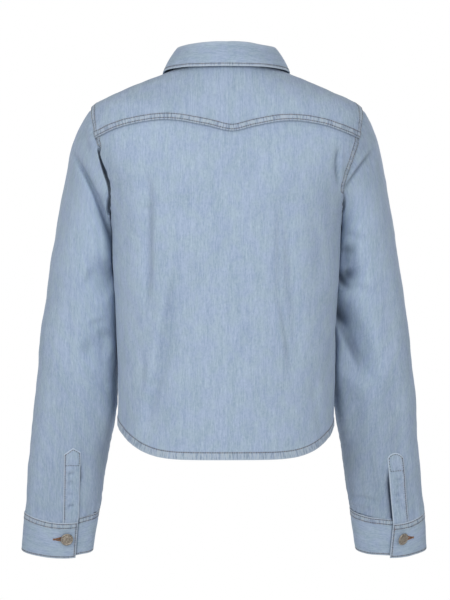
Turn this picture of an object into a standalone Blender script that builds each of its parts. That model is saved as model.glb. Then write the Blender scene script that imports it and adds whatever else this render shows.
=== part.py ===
"""A cropped denim shirt, buttoned up and filled out as if it were worn.

Metres, +Z up. The wearer faces -Y, so +X is the wearer's left. The origin is the middle of the
neck opening, level with the side neck points.

The cloth lies on two forms. The torso form is a stack of oval rings, from the neck seam down past
the hem, and a sleeve form is a stack of ovals from the armhole seam down to the cuff. A panel is a
grid of points on its form, between its own seams, and Solidify gives it a wall on the inside.
Panels that meet share their points along the seam, each drawn back a little from it.
"""

import math
from collections import namedtuple

import bmesh
import bpy
from mathutils import Vector

# ---------------------------------------------------------------- driving sizes, in metres

CLOTH = 0.0012          # one layer of light denim
DOUBLED = 0.0020        # a folded band: cuff, front band, collar and its stand
SEAM_GAP = 0.0003       # between pieces that lie on one another
JOIN_GAP = 0.0005       # between panels that meet edge to edge
ARMHOLE_GAP = 0.0008    # more where the walls meet at an angle
PROUD = 0.0008          # how far a doubled band stands out from the single cloth beside it

# The torso form. level is the height of each ring at the centre back; its sides and front may be
# higher or lower. squareness is the exponent of the oval, 2 for an ellipse.
Ring = namedtuple("Ring", "level side_z half_width back_depth front_z front_depth squareness")
TORSO = (
    Ring(0.012, 0.0060, 0.0720, 0.0600, -0.062, 0.0600, 2.00),   # neck seam
    Ring(-0.010, -0.0065, 0.1040, 0.0720, -0.079, 0.0745, 2.10),
    Ring(-0.035, -0.0210, 0.1380, 0.0830, -0.097, 0.0870, 2.25),
    Ring(-0.062, -0.0425, 0.1785, 0.0910, -0.115, 0.0975, 2.60),  # shoulder points
    Ring(-0.092, -0.0760, 0.1815, 0.0975, -0.134, 0.1060, 3.30),
    Ring(-0.122, -0.1150, 0.1730, 0.1020, -0.154, 0.1130, 3.20),
    Ring(-0.155, -0.1530, 0.1590, 0.1050, -0.176, 0.1190, 2.80),
    Ring(-0.190, -0.1900, 0.1535, 0.1060, -0.200, 0.1225, 2.50),  # underarm
    Ring(-0.250, -0.2500, 0.1512, 0.1040, -0.250, 0.1230, 2.40),
    Ring(-0.340, -0.3400, 0.1458, 0.1010, -0.340, 0.1160, 2.35),
    Ring(-0.430, -0.4300, 0.1438, 0.1020, -0.430, 0.1120, 2.35),
    Ring(-0.530, -0.5300, 0.1440, 0.1050, -0.530, 0.1110, 2.35),  # below the hem
)
NECK_LEVEL = TORSO[0].level

HEM_Z = -0.5035         # at centre back and centre front
HEM_RISE = 0.041        # how much higher the shirt-tail hem is at the side seams
HEM_CURVE = 8           # the power of the curve: flat across the middle, steep at the sides

# The armhole seam, seen from the side: 0 at the shoulder point, 90 at the back, 180 underarm.
SeamPoint = namedtuple("SeamPoint", "turn y z")
ARMHOLE = (
    SeamPoint(0, 0.000, -0.0425),
    SeamPoint(30, 0.030, -0.0500),
    SeamPoint(60, 0.047, -0.0720),
    SeamPoint(90, 0.057, -0.1050),
    SeamPoint(120, 0.053, -0.1430),
    SeamPoint(150, 0.029, -0.1750),
    SeamPoint(180, -0.012, -0.1900),
    SeamPoint(210, -0.044, -0.1760),
    SeamPoint(240, -0.057, -0.1430),
    SeamPoint(270, -0.058, -0.1060),
    SeamPoint(300, -0.048, -0.0750),
    SeamPoint(330, -0.030, -0.0520),
)
TURN_STEP = 12          # degrees of turn between the shared points of the armhole seam
YOKE_BACK_TURN = 72     # where the yoke seam runs into the armhole
YOKE_FRONT_TURN = -36   # where the front shoulder seam runs into it

# The pointed back yoke's lower edge. Its point sits a little to the wearer's right.
YokePoint = namedtuple("YokePoint", "x z")
YOKE_SEAM = (
    YokePoint(-0.156, -0.0830),
    YokePoint(-0.120, -0.0725),
    YokePoint(-0.076, -0.0680),
    YokePoint(-0.036, -0.0745),
    YokePoint(-0.005, -0.0818),
    YokePoint(0.028, -0.0748),
    YokePoint(0.078, -0.0673),
    YokePoint(0.120, -0.0715),
    YokePoint(0.156, -0.0815),
)
NECK_SEAM_Y = -0.022    # the front shoulder seam meets the neck seam this far forward

# A sleeve, from the armhole down: its outer and inner edges seen from behind, how far it
# reaches to the back and front of its own middle, and how far its back edge tips down.
Oval = namedtuple("Oval", "run outer_x outer_z inner_x inner_z middle_y half_depth tip")
SLEEVE = (
    Oval(0.000, 0.1785, -0.0425, 0.1535, -0.1900, -0.004, 0.0570, 0.00),
    Oval(0.030, 0.1893, -0.0560, 0.1525, -0.1985, -0.014, 0.0600, 0.00),
    Oval(0.065, 0.2047, -0.0880, 0.1495, -0.2110, -0.026, 0.0640, 0.00),
    Oval(0.110, 0.2134, -0.1210, 0.1475, -0.2270, -0.034, 0.0660, 0.00),
    Oval(0.165, 0.2217, -0.1637, 0.1465, -0.2520, -0.039, 0.0660, 0.00),
    Oval(0.245, 0.2342, -0.2360, 0.1455, -0.3000, -0.041, 0.0620, 0.02),
    Oval(0.335, 0.2474, -0.3270, 0.1450, -0.3620, -0.045, 0.0560, 0.06),
    Oval(0.430, 0.2575, -0.4190, 0.1478, -0.4360, -0.050, 0.0480, 0.12),
    Oval(0.520, 0.2652, -0.5050, 0.1592, -0.5050, -0.060, 0.0400, 0.22),
    Oval(0.610, 0.2738, -0.5910, 0.1722, -0.5835, -0.073, 0.0310, 0.32),  # cuff seam
    Oval(0.663, 0.2780, -0.6430, 0.1815, -0.6420, -0.083, 0.0270, 0.24),  # cuff's lower edge
)
BODY_CLEARANCE = 0.0010 # between a sleeve and the side of the body it rests against
CLEARANCE_RUN = 0.012   # the clearance opens up over this far from the armhole seam
CUFF_RUN = SLEEVE[-2].run
SLEEVE_END = SLEEVE[-1].run
CUFF_UNDERLAP = 0.026   # how far the cuff's under end runs on beneath its button end
CUFF_TUCK_FROM = 40     # it starts to tuck in this many degrees before it meets that end
CUFF_TUCK_TURN = 30     # and does so over this many
PLACKET_WIDTH = 0.021
PLACKET_POINT = 0.008   # the pointed top, above the straight strip
PLACKET_LIFT = 0.0005   # its underside stands this far off the sleeve's facets
BUTTON_INSET = 0.0145   # cuff button's centre from the cuff's edge

# The sleeve openings, as turns round the sleeve: at the cuff's lower edge, at the cuff seam and
# at the top of the placket, with the placket's straight length. The arms hang turned unequally.
Opening = namedtuple("Opening", "cuff_end cuff_seam placket_top length")
OPENINGS = {
    "left": Opening(123, 118, 108, 0.090),
    "right": Opening(96, 85, 84, 0.083),
}
SIDES = {"left": 1, "right": -1}

FRONT_OVERLAP = 0.015   # each front band reaches this far past the centre
BAND_COVER = 0.0015     # each band's free edge covers the seam beside it by this much
FRONT_EASE = 0.045      # the under front comes level with the outer one this far out

# Height of the collar stand at turns from the centre back.
StandPoint = namedtuple("StandPoint", "turn height")
STAND = (
    StandPoint(0, 0.0235),
    StandPoint(45, 0.0255),
    StandPoint(90, 0.0285),
    StandPoint(135, 0.0250),
    StandPoint(180, 0.0210),
)
STAND_LEAN = 0.145      # share by which the stand's top ring is smaller than the neck
STAND_TUCK_FROM = 0.75  # its left end starts to tuck under this many radians from the centre
STAND_TUCK_TURN = 0.45  # and does so over this many

# The collar's fold over the top of its stand: outwards from the stand's face, and up.
FoldPoint = namedtuple("FoldPoint", "out up")
COLLAR_FOLD = (
    FoldPoint(-0.0020, 0.0027),
    FoldPoint(0.0012, 0.0032),
    FoldPoint(0.0037, 0.0006),
)

# The collar's outer edge: share of the way from centre back to collar point, how far round the
# neck it lies, how far down the torso form, and how far it stands off it.
CollarPoint = namedtuple("CollarPoint", "share turn level lift")
COLLAR_EDGE = (
    CollarPoint(0.00, 0, 0.0030, 0.0080),
    CollarPoint(0.20, 32, 0.0035, 0.0075),
    CollarPoint(0.40, 66, 0.0055, 0.0045),
    CollarPoint(0.55, 93, 0.0050, 0.0030),
    CollarPoint(0.70, 118, -0.0060, 0.0045),
    CollarPoint(0.85, 140, -0.0320, 0.0045),
    CollarPoint(1.00, 157, -0.0600, 0.0045),
)
COLLAR_FRONT_TURN = 171 # where the collar's fold ends at the front
COLLAR_BELLY = 0.0015   # how far its fall rounds outwards

BUTTON_RADIUS = 0.0085
BUTTON_SIDES = 14
# Half the section of a shank button, from the middle of its underside up and over the top.
ButtonRing = namedtuple("ButtonRing", "radius height")
BUTTON_PROFILE = (
    ButtonRing(0.0000, 0.0000),
    ButtonRing(0.0038, 0.0000),
    ButtonRing(0.0038, 0.0022),
    ButtonRing(BUTTON_RADIUS, 0.0026),
    ButtonRing(BUTTON_RADIUS, 0.0042),
    ButtonRing(0.0068, 0.0050),
    ButtonRing(0.0000, 0.0044),
)
FRONT_BUTTON_Z = (-0.100, -0.172, -0.244, -0.316, -0.388, -0.460)

# The largest folds, as valleys seen from behind (side 1) or in front (side -1): from one point
# to another in X and Z, bowed sideways at its middle, with its half width and its depth.
Fold = namedtuple("Fold", "side x0 z0 x1 z1 bow half_width depth")
TORSO_FOLDS = (
    Fold(1, 0.052, -0.215, 0.108, -0.480, 0.004, 0.016, 0.0050),
    Fold(1, 0.104, -0.110, 0.102, -0.305, -0.003, 0.014, 0.0035),
    Fold(1, -0.068, -0.170, -0.084, -0.395, 0.007, 0.010, 0.0030),
    Fold(-1, 0.070, -0.200, 0.098, -0.440, 0.006, 0.015, 0.0045),
    Fold(-1, -0.074, -0.185, -0.104, -0.460, -0.004, 0.014, 0.0045),
)
SLEEVE_FOLDS = {
    "left": (
        Fold(1, 0.2040, -0.106, 0.1530, -0.226, 0.006, 0.0125, 0.0150),
        Fold(1, 0.186, -0.268, 0.152, -0.284, 0.003, 0.0150, 0.0060),
        Fold(1, 0.190, -0.362, 0.148, -0.384, 0.005, 0.0150, 0.0065),
        Fold(-1, 0.206, -0.120, 0.160, -0.215, 0.005, 0.0130, 0.0090),
        Fold(-1, 0.240, -0.372, 0.190, -0.352, 0.005, 0.0150, 0.0070),
    ),
    "right": (
        Fold(1, -0.150, -0.224, -0.168, -0.276, 0.002, 0.0130, 0.0085),
        Fold(1, -0.146, -0.300, -0.194, -0.404, 0.004, 0.0140, 0.0135),
        Fold(1, -0.172, -0.424, -0.176, -0.490, 0.000, 0.0130, 0.0050),
        Fold(-1, -0.204, -0.118, -0.160, -0.205, 0.005, 0.0130, 0.0090),
        Fold(-1, -0.238, -0.366, -0.188, -0.344, 0.005, 0.0150, 0.0070),
    ),
}

FOLD_OVERRUN = 0.15     # a fold runs on past each end by this share of its length
FOLD_FADE = 0.35        # and fades out over this share
FOLD_FACING = 0.5       # folds fade out where the form turns to face sideways
HEAD_FADE = 0.040       # and over this far below the armhole seam

# ---------------------------------------------------------------- how finely each piece is cut

BACK_COLUMNS = 24
SIDE_ROWS = 13          # along the side seam, shared by back and fronts
FRONT_COLUMNS = 10
BAND_COLUMNS = 4
YOKE_ROWS = 5           # from its outer edge to the neck seam, shared with the shoulder seam
SLEEVE_ROWS = 24
SLEEVE_ROW_POWER = 1.22  # above 1, the rows stand closer together near the armhole
CUFF_ROWS = 2
CUFF_COLUMNS = 28
PLACKET_ROWS = 9
PLACKET_COLUMNS = 4
COLLAR_COLUMNS = 34
COLLAR_FALL_ROWS = 4    # below the collar's fold
STAND_ROWS = 2
STEP = 1e-4             # for measuring a slope on a form
CHORD = 10              # degrees of turn that a width round a sleeve is measured over
HALVINGS = 40           # for finding the level at which a form reaches a height
CORRECTIONS = 60        # for finding the place on the side of the torso form


# ---------------------------------------------------------------- curves and small helpers

def mix(a, b, share):
    return a + (b - a) * share


def ease(share):
    """0 to 1 with flat ends, held outside them."""
    share = min(1.0, max(0.0, share))
    return share * share * (3 - 2 * share)


def curve_through(keys, values):
    """A smooth function through these pairs, keys rising, straight on past its ends."""
    rises = [(values[i + 1] - values[i]) / (keys[i + 1] - keys[i]) for i in range(len(keys) - 1)]
    slopes = [rises[0]] + [(a + b) / 2 for a, b in zip(rises, rises[1:])] + [rises[-1]]

    def value_at(key):
        if key <= keys[0]:
            return values[0] + slopes[0] * (key - keys[0])
        if key >= keys[-1]:
            return values[-1] + slopes[-1] * (key - keys[-1])
        i = max(j for j in range(len(keys) - 1) if keys[j] <= key)
        span = keys[i + 1] - keys[i]
        t = (key - keys[i]) / span
        start, end = slopes[i] * span, slopes[i + 1] * span
        rise = values[i + 1] - values[i]
        square, cube = 3 * rise - 2 * start - end, start + end - 2 * rise
        return values[i] + start * t + square * t**2 + cube * t**3

    return value_at


def columns_of(rows, key):
    """A smooth curve for each column of a table against its key column."""
    rows = sorted(rows, key=lambda row: getattr(row, key))
    keys = [getattr(row, key) for row in rows]
    return {name: curve_through(keys, [getattr(row, name) for row in rows])
            for name in rows[0]._fields if name != key}


def fold_depth(folds, side, x, z):
    """How far the folds on one side of the garment draw the cloth in at a place seen from there."""
    depth = 0.0
    for fold in folds:
        if fold.side != side:
            continue
        along = Vector((fold.x1 - fold.x0, fold.z1 - fold.z0))
        place = Vector((x - fold.x0, z - fold.z0))
        share = place.dot(along) / along.length_squared
        across = (place.x * along.y - place.y * along.x) / along.length
        middle = fold.bow * math.sin(math.pi * min(1.0, max(0.0, share)))
        ends = (share + FOLD_OVERRUN, 1 + FOLD_OVERRUN - share)
        fade = ease(ends[0] / FOLD_FADE) * ease(ends[1] / FOLD_FADE)
        depth += fold.depth * fade * math.exp(-(((across - middle) / fold.half_width) ** 2))
    return depth


# ---------------------------------------------------------------- the torso form

RINGS = columns_of(TORSO, "level")


def ring_z(level, turn):
    """Height of a ring at a turn from the centre back."""
    end_z = level if math.cos(turn) > 0 else RINGS["front_z"](level)
    return mix(RINGS["side_z"](level), end_z, math.cos(turn) ** 2)


def torso_point(turn, level, out=0.0):
    """A point on the torso form. turn is in radians from the centre back, towards the left."""
    depth = RINGS["back_depth" if math.cos(turn) > 0 else "front_depth"](level)
    n = RINGS["squareness"](level)
    width = RINGS["half_width"](level)
    radius = (abs(math.sin(turn) / width) ** n + abs(math.cos(turn) / depth) ** n) ** (-1 / n)
    point = Vector((radius * math.sin(turn), radius * math.cos(turn), ring_z(level, turn)))
    if level < NECK_LEVEL:
        side = 1 if point.y > 0 else -1
        facing = ease((abs(point.y) / depth - FOLD_FACING / 2) / FOLD_FACING)
        point.y -= side * facing * fold_depth(TORSO_FOLDS, side, point.x, point.z)
    return point + torso_normal(turn, level) * out if out else point


def torso_normal(turn, level):
    """The outward direction of the torso form."""
    around = torso_point(turn + STEP * 10, level) - torso_point(turn - STEP * 10, level)
    up = torso_point(turn, level + STEP) - torso_point(turn, level - STEP)
    return up.cross(around).normalized()


def turn_at(x, level, front=False):
    """The turn at which a ring passes a distance x from the centre line."""
    n = RINGS["squareness"](level)
    depth = RINGS["front_depth" if front else "back_depth"](level)
    width = RINGS["half_width"](level)
    y = depth * (1 - min(1.0, abs(x) / width) ** n) ** (1 / n)
    return math.atan2(x, -y if front else y)


def level_at(turn, height_of):
    """The level at which the form, at a turn, reaches the height that height_of(x) gives."""
    low, high = TORSO[-1].level, NECK_LEVEL
    for _ in range(HALVINGS):
        level = (low + high) / 2
        point = torso_point(turn, level)
        if point.z < height_of(point.x):
            low = level
        else:
            high = level
    return level


def hem_level(turn):
    return HEM_Z + HEM_RISE * abs(math.sin(turn)) ** HEM_CURVE


# ---------------------------------------------------------------- the armhole and yoke seams

def wrapped(rows, field):
    """A seam table's column over more than one whole turn, so that it closes smoothly."""
    keys = [row.turn + 360 * lap for lap in (-1, 0, 1) for row in rows]
    return curve_through(keys, [getattr(row, field) for _ in range(3) for row in rows])


ARMHOLE_Y = wrapped(ARMHOLE, "y")
ARMHOLE_Z = wrapped(ARMHOLE, "z")


def side_place(y, z):
    """(turn, level) where the left side of the torso form passes a given Y and height."""
    level, turn = z, math.pi / 2
    for _ in range(CORRECTIONS):
        n = RINGS["squareness"](level)
        depth = RINGS["back_depth" if y > 0 else "front_depth"](level)
        x = RINGS["half_width"](level) * max(0.0, 1 - (abs(y) / depth) ** n) ** (1 / n)
        turn = math.atan2(x, y)
        level += z - ring_z(level, turn)
    return turn, level


def armhole_place(seam_turn):
    """(turn, level) on the torso form of a point of the left armhole seam."""
    return side_place(ARMHOLE_Y(seam_turn), ARMHOLE_Z(seam_turn))


def yoke_height():
    """The yoke seam's height against X, out to the armholes."""
    end = torso_point(*armhole_place(YOKE_BACK_TURN))
    rows = (YokePoint(-end.x, end.z),) + YOKE_SEAM + (YokePoint(end.x, end.z),)
    return curve_through([row.x for row in rows], [row.z for row in rows])


YOKE_HEIGHT = yoke_height()


def yoke_level(turn):
    return level_at(turn, YOKE_HEIGHT)


def seam_turns(first, last):
    """The shared turns of the armhole seam from one to another, both included."""
    count = abs(last - first) // TURN_STEP
    return [first + (last - first) * i / count for i in range(count + 1)]


def shoulder_seam(share):
    """(turn, level) on the left front shoulder seam, from the armhole to the neck seam."""
    arm_turn, arm_level = armhole_place(YOKE_FRONT_TURN)
    n, width = TORSO[0].squareness, TORSO[0].half_width
    neck_x = width * (1 - (abs(NECK_SEAM_Y) / TORSO[0].front_depth) ** n) ** (1 / n)
    return mix(arm_turn, math.atan2(neck_x, NECK_SEAM_Y), share), mix(arm_level, NECK_LEVEL, share)


# ---------------------------------------------------------------- the sleeve form

OVALS = columns_of(SLEEVE, "run")
CAP_RUN = SLEEVE[2].run  # by here the sleeve has turned from the seam's shape into its own oval


def oval_point(turn, run):
    """A point on a plain left sleeve oval. turn: 0 outer edge, 90 back, 180 against the body."""
    oval = {name: column(run) for name, column in OVALS.items()}
    outer = Vector((oval["outer_x"], 0, oval["outer_z"]))
    inner = Vector((oval["inner_x"], 0, oval["inner_z"]))
    across, y = math.cos(math.radians(turn)), math.sin(math.radians(turn)) * oval["half_depth"]
    point = (outer + inner) / 2 + (outer - inner) / 2 * across
    return point + Vector((0, oval["middle_y"] + y, -y * oval["tip"]))


def sleeve_point(side, turn, run, out=0.0):
    """A point on a sleeve form, with its head fitted to the armhole and its folds drawn in."""
    point = oval_point(turn, run)
    back = math.sin(math.radians(turn))
    if run < CAP_RUN:
        seam = torso_point(*armhole_place(turn))
        point += (seam - oval_point(turn, 0.0)) * (1 - ease(run / CAP_RUN))
    facing = 1 if back > 0 else -1
    fold = fold_depth(SLEEVE_FOLDS[side], facing, point.x * SIDES[side], point.z)
    point.y -= facing * ease(abs(back) / FOLD_FACING) * ease(run / HEAD_FADE) * fold
    if turn % 360 > 90 and run > 0:
        fade = min(1.0, run / CLEARANCE_RUN)
        body = torso_point(*side_place(point.y, point.z)).x + BODY_CLEARANCE * fade
        past = point.x - body
        point.x = body + (past + math.hypot(past, BODY_CLEARANCE * fade)) / 2
    point.x *= SIDES[side]
    return point + sleeve_normal(side, turn, run) * out if out else point


def sleeve_normal(side, turn, run):
    """The outward direction of a sleeve form."""
    around = sleeve_point(side, turn + 1, run) - sleeve_point(side, turn - 1, run)
    down = sleeve_point(side, turn, run + STEP) - sleeve_point(side, turn, run - STEP)
    return around.cross(down).normalized() * -SIDES[side]


# ---------------------------------------------------------------- making objects

def material(name, colour, roughness, metallic=0.0):
    made = bpy.data.materials.new(name)
    made.use_nodes = True
    shader = made.node_tree.nodes["Principled BSDF"]
    shader.inputs["Base Color"].default_value = (*colour, 1.0)
    shader.inputs["Roughness"].default_value = roughness
    shader.inputs["Metallic"].default_value = metallic
    return made


def add_object(name, mesh, finish):
    piece = bpy.data.objects.new(name, mesh)
    bpy.context.scene.collection.objects.link(piece)
    piece.parent = SHIRT
    mesh.materials.append(finish)
    return piece


def drawn_back(grid, gaps):
    """The grid with its edges moved in from the seams: gaps is (first row, last row, first
    column, last column)."""
    rows, columns = len(grid), len(grid[0])
    moved = [list(row) for row in grid]
    for j in range(rows):
        for i in range(columns):
            step = Vector()
            for at_edge, near, gap in (
                (j == 0, (1, i), gaps[0]),
                (j == rows - 1, (rows - 2, i), gaps[1]),
                (i == 0, (j, 1), gaps[2]),
                (i == columns - 1, (j, columns - 2), gaps[3]),
            ):
                if at_edge and gap:
                    step += (grid[near[0]][near[1]] - grid[j][i]).normalized() * gap
            moved[j][i] = grid[j][i] + step
    return moved


def cloth(name, grid, wall, finish, flip=False, round_tube=False, outwards=False):
    """A piece of cloth: a grid primitive laid on the grid's points, with a wall on its inside."""
    rows, columns = len(grid) - 1, len(grid[0]) - 1
    if round_tube:
        grid = [[*row, row[0]] for row in grid]
        columns += 1
    sheet = bmesh.new()
    bmesh.ops.create_grid(sheet, x_segments=columns, y_segments=rows, size=1.0)
    for corner in sheet.verts:
        i = round((corner.co.x + 1) / 2 * columns)
        j = round((corner.co.y + 1) / 2 * rows)
        corner.co = grid[j][i]
    if round_tube:
        bmesh.ops.remove_doubles(sheet, verts=sheet.verts, dist=1e-6)
    if flip:
        bmesh.ops.reverse_faces(sheet, faces=sheet.faces)
    mesh = bpy.data.meshes.new(name)
    sheet.to_mesh(mesh)
    sheet.free()
    mesh.shade_smooth()
    piece = add_object(name, mesh, finish)
    thickness = piece.modifiers.new("wall", "SOLIDIFY")
    thickness.thickness = wall
    thickness.offset = 1.0 if outwards else -1.0
    thickness.use_even_offset = True
    return piece


# ---------------------------------------------------------------- torso panels

def side_seam():
    """(turn, level) of the shared points of the left side seam, from the hem to the underarm."""
    turn, top = armhole_place(180)
    return [(turn, mix(hem_level(turn), top, j / SIDE_ROWS)) for j in range(SIDE_ROWS + 1)]


def rows_between(edge, top_level):
    """For each point of a panel's side edge, its share of the way from the hem to the top."""
    shares = []
    for turn, level in edge:
        bottom, top = hem_level(turn), top_level(turn)
        shares.append((level - bottom) / (top - bottom))
    return shares


def make_back():
    edge = side_seam() + [armhole_place(turn) for turn in seam_turns(180, YOKE_BACK_TURN)[1:]]
    grid = []
    for (edge_turn, _), share in zip(edge, rows_between(edge, yoke_level)):
        row = []
        for i in range(BACK_COLUMNS + 1):
            turn = edge_turn * (2 * i / BACK_COLUMNS - 1)
            row.append(torso_point(turn, mix(hem_level(turn), yoke_level(turn), share)))
        grid.append(row)
    gap = JOIN_GAP / 2
    cloth("back", drawn_back(grid, (0, gap, gap, gap)), CLOTH, DENIM, flip=True)


def make_yoke():
    """A C-shaped piece: along the yoke seam and round the armholes outside, the neck inside."""
    end_turn = armhole_place(YOKE_BACK_TURN)[0]
    left_arm = [armhole_place(turn) for turn in seam_turns(YOKE_BACK_TURN, YOKE_FRONT_TURN)[1:]]
    outer = [(-turn, level) for turn, level in reversed(left_arm)]
    for i in range(BACK_COLUMNS + 1):
        turn = end_turn * (2 * i / BACK_COLUMNS - 1)
        outer.append((turn, yoke_level(turn)))
    outer += left_arm
    neck_end = shoulder_seam(1.0)[0]
    last = len(outer) - 1
    grid = []
    for j in range(YOKE_ROWS + 1):
        share = j / YOKE_ROWS
        row = []
        for i, (turn, level) in enumerate(outer):
            neck_turn = neck_end * (2 * i / last - 1)
            row.append(torso_point(mix(turn, neck_turn, share), mix(level, NECK_LEVEL, share)))
        grid.append(row)
    gap = JOIN_GAP / 2
    cloth("yoke", drawn_back(grid, (gap, gap, gap, gap)), CLOTH, DENIM, flip=True)


def front_drop(x, under):
    """How far the front that lies under is set back at a distance from the centre."""
    if not under:
        return 0.0
    return -(DOUBLED + SEAM_GAP) * (1 - ease((x - FRONT_OVERLAP) / (FRONT_EASE - FRONT_OVERLAP)))


def front_rows():
    """(turn, level) of a front's side edge, from the hem up the side seam, the armhole and the
    shoulder seam to the neck, and each row's share of the way up."""
    edge = side_seam()
    edge += [armhole_place(turn) for turn in seam_turns(180, 360 + YOKE_FRONT_TURN)[1:]]
    edge += [shoulder_seam(j / YOKE_ROWS) for j in range(1, YOKE_ROWS + 1)]
    return list(zip(edge, rows_between(edge, lambda _: NECK_LEVEL)))


def make_front(side):
    """A front panel, from its band out to the side seam, armhole and shoulder seam."""
    under = side == "left"
    grid = []
    for (edge_turn, _), share in front_rows():
        row = []
        for i in range(FRONT_COLUMNS + 1):
            level = mix(HEM_Z, NECK_LEVEL, share)
            band_turn = turn_at(FRONT_OVERLAP, level, front=True)
            turn = mix(band_turn, edge_turn, i / FRONT_COLUMNS)
            level = mix(hem_level(turn), NECK_LEVEL, share)
            flat = torso_point(turn, level)
            point = torso_point(turn * SIDES[side], level, front_drop(flat.x, under))
            row.append(point)
        grid.append(row)
    gap = JOIN_GAP / 2
    cloth(f"{side}_front", drawn_back(grid, (0, gap, gap, gap)), CLOTH, DENIM, flip=not under)


def make_front_band(side):
    """The doubled strip down the centre front; the right one lies over the left one."""
    out = PROUD if side == "right" else PROUD - DOUBLED - SEAM_GAP
    sewn = (FRONT_OVERLAP - SEAM_GAP) * SIDES[side]
    free = -(FRONT_OVERLAP + BAND_COVER) * SIDES[side]
    first, last = min(sewn, free), max(sewn, free)
    grid = []
    for _, share in front_rows():
        level = mix(HEM_Z, NECK_LEVEL, share)
        row = []
        for i in range(BAND_COLUMNS + 1):
            turn = turn_at(mix(first, last, i / BAND_COLUMNS), level, front=True)
            row.append(torso_point(turn, level, out))
        grid.append(row)
    cloth(f"{side}_front_band", drawn_back(grid, (0, SEAM_GAP, 0, 0)), DOUBLED, DENIM)


# ---------------------------------------------------------------- collar

STAND_HEIGHT = columns_of(STAND, "turn")["height"]


def stand_point(turn, share, out=0.0):
    """A point on the collar stand, from the neck seam (0) to its top edge (1)."""
    base = torso_point(turn, NECK_LEVEL)
    lean = 1 - STAND_LEAN * share
    height = STAND_HEIGHT(abs(math.degrees(turn))) * share + SEAM_GAP
    outward = Vector((base.x, base.y, 0)).normalized()
    return Vector((base.x * lean, base.y * lean, base.z + height)) + outward * out


def make_stand():
    """The band round the neck. Its right end laps over its left end at the front."""
    end = math.pi + FRONT_OVERLAP / TORSO[0].front_depth
    under = -(DOUBLED + SEAM_GAP)
    grid = []
    for j in range(STAND_ROWS + 1):
        row = []
        for i in range(COLLAR_COLUMNS + 1):
            turn = end * (2 * i / COLLAR_COLUMNS - 1)
            tuck = under * ease((turn - math.pi + STAND_TUCK_FROM) / STAND_TUCK_TURN)
            row.append(stand_point(turn, j / STAND_ROWS, tuck))
        grid.append(row)
    cloth("collar_stand", grid, DOUBLED, DENIM, flip=True)


COLLAR = columns_of(COLLAR_EDGE, "share")


def collar_column(share):
    """Points down the turned-down collar, over its fold and down its fall to its outer edge.
    share runs from -1 to 1 round the neck."""
    side = 1 if share >= 0 else -1
    edge = {name: column(abs(share)) for name, column in COLLAR.items()}
    turn = math.radians(COLLAR_FRONT_TURN) * share
    top = stand_point(turn, 1.0)
    along = stand_point(turn + STEP, 1.0) - stand_point(turn - STEP, 1.0)
    up = along.cross(Vector((top.x, top.y, 0))).normalized()
    outward = up.cross(along).normalized()
    points = [top + outward * fold.out + up * fold.up for fold in COLLAR_FOLD]
    lip = torso_point(side * math.radians(edge["turn"]), edge["level"], edge["lift"])
    for j in range(1, COLLAR_FALL_ROWS + 1):
        fall = j / COLLAR_FALL_ROWS
        belly = math.sin(math.pi * fall) * COLLAR_BELLY
        points.append(points[len(COLLAR_FOLD) - 1].lerp(lip, fall) + outward * belly)
    return points


def make_collar():
    columns = [collar_column(2 * i / COLLAR_COLUMNS - 1) for i in range(COLLAR_COLUMNS + 1)]
    cloth("collar", [list(row) for row in zip(*columns)], DOUBLED, DENIM)


# ---------------------------------------------------------------- sleeves, plackets and cuffs

def sleeve_grid(side):
    turns = seam_turns(0, 360 - TURN_STEP)
    grid = []
    for j in range(SLEEVE_ROWS + 1):
        run = CUFF_RUN * (j / SLEEVE_ROWS) ** SLEEVE_ROW_POWER
        grid.append([sleeve_point(side, turn, run) for turn in turns])
    return grid


def make_sleeve(side):
    grid = sleeve_grid(side)
    seam = grid[0]
    away = Vector((SIDES[side], 0, 0)) * JOIN_GAP
    grid[0] = []
    for i, top in enumerate(seam):
        along = (seam[(i + 1) % len(seam)] - seam[i - 1]).normalized()
        down = grid[1][i] - top
        down = (down - along * down.dot(along)).normalized()
        grid[0].append(top + down * ARMHOLE_GAP + away)
        grid[-1][i] += (grid[-2][i] - grid[-1][i]).normalized() * SEAM_GAP
    cloth(f"{side}_sleeve", grid, CLOTH, DENIM, flip=side == "left", round_tube=True)
    return grid


def on_sleeve_facets(grid, turn, height):
    """The point of a sleeve's own flat facets at a turn and a height."""
    place = turn / TURN_STEP
    i = int(place) % len(grid[0])
    around = place - int(place)
    line = [row[i].lerp(row[(i + 1) % len(row)], around) for row in grid]
    for upper, lower in zip(line, line[1:]):
        if lower.z <= height <= upper.z:
            return upper.lerp(lower, (upper.z - height) / (upper.z - lower.z))
    return line[-1]


def turns_across(side, turn, run, width):
    """How many degrees of turn a width covers on a sleeve form."""
    step = sleeve_point(side, turn - CHORD, run) - sleeve_point(side, turn, run)
    return CHORD * width / step.length


def make_placket(side, grid):
    """The strip over a sleeve's opening, with a pointed top, laid on the sleeve's facets."""
    opening = OPENINGS[side]
    bottom = on_sleeve_facets(grid, opening.cuff_seam, -math.inf).z
    span = turns_across(side, opening.cuff_seam, CUFF_RUN, PLACKET_WIDTH)
    strip = []
    for j in range(PLACKET_ROWS + 1):
        share = j / PLACKET_ROWS
        row = []
        for i in range(PLACKET_COLUMNS + 1):
            across = i / PLACKET_COLUMNS
            turn = mix(opening.cuff_seam, opening.placket_top, share) - span * across
            rise = opening.length * share
            if j == PLACKET_ROWS:
                rise += PLACKET_POINT * (1 - abs(2 * across - 1))
            point = on_sleeve_facets(grid, turn, bottom + rise)
            row.append(point + Vector((0, PLACKET_LIFT, 0)))
        strip.append(row)
    cloth(f"{side}_placket", strip, CLOTH, DENIM, flip=side == "left", outwards=True)


def cuff_turn(side, share, down):
    """The turn at a share of the way round a cuff, from its button end, once round and on
    beneath it; down is the share of the way from the cuff seam to its lower edge."""
    opening = OPENINGS[side]
    start = mix(opening.cuff_seam, opening.cuff_end, down)
    underlap = turns_across(side, start, CUFF_RUN, CUFF_UNDERLAP)
    return start - (360 + underlap) * share


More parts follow.
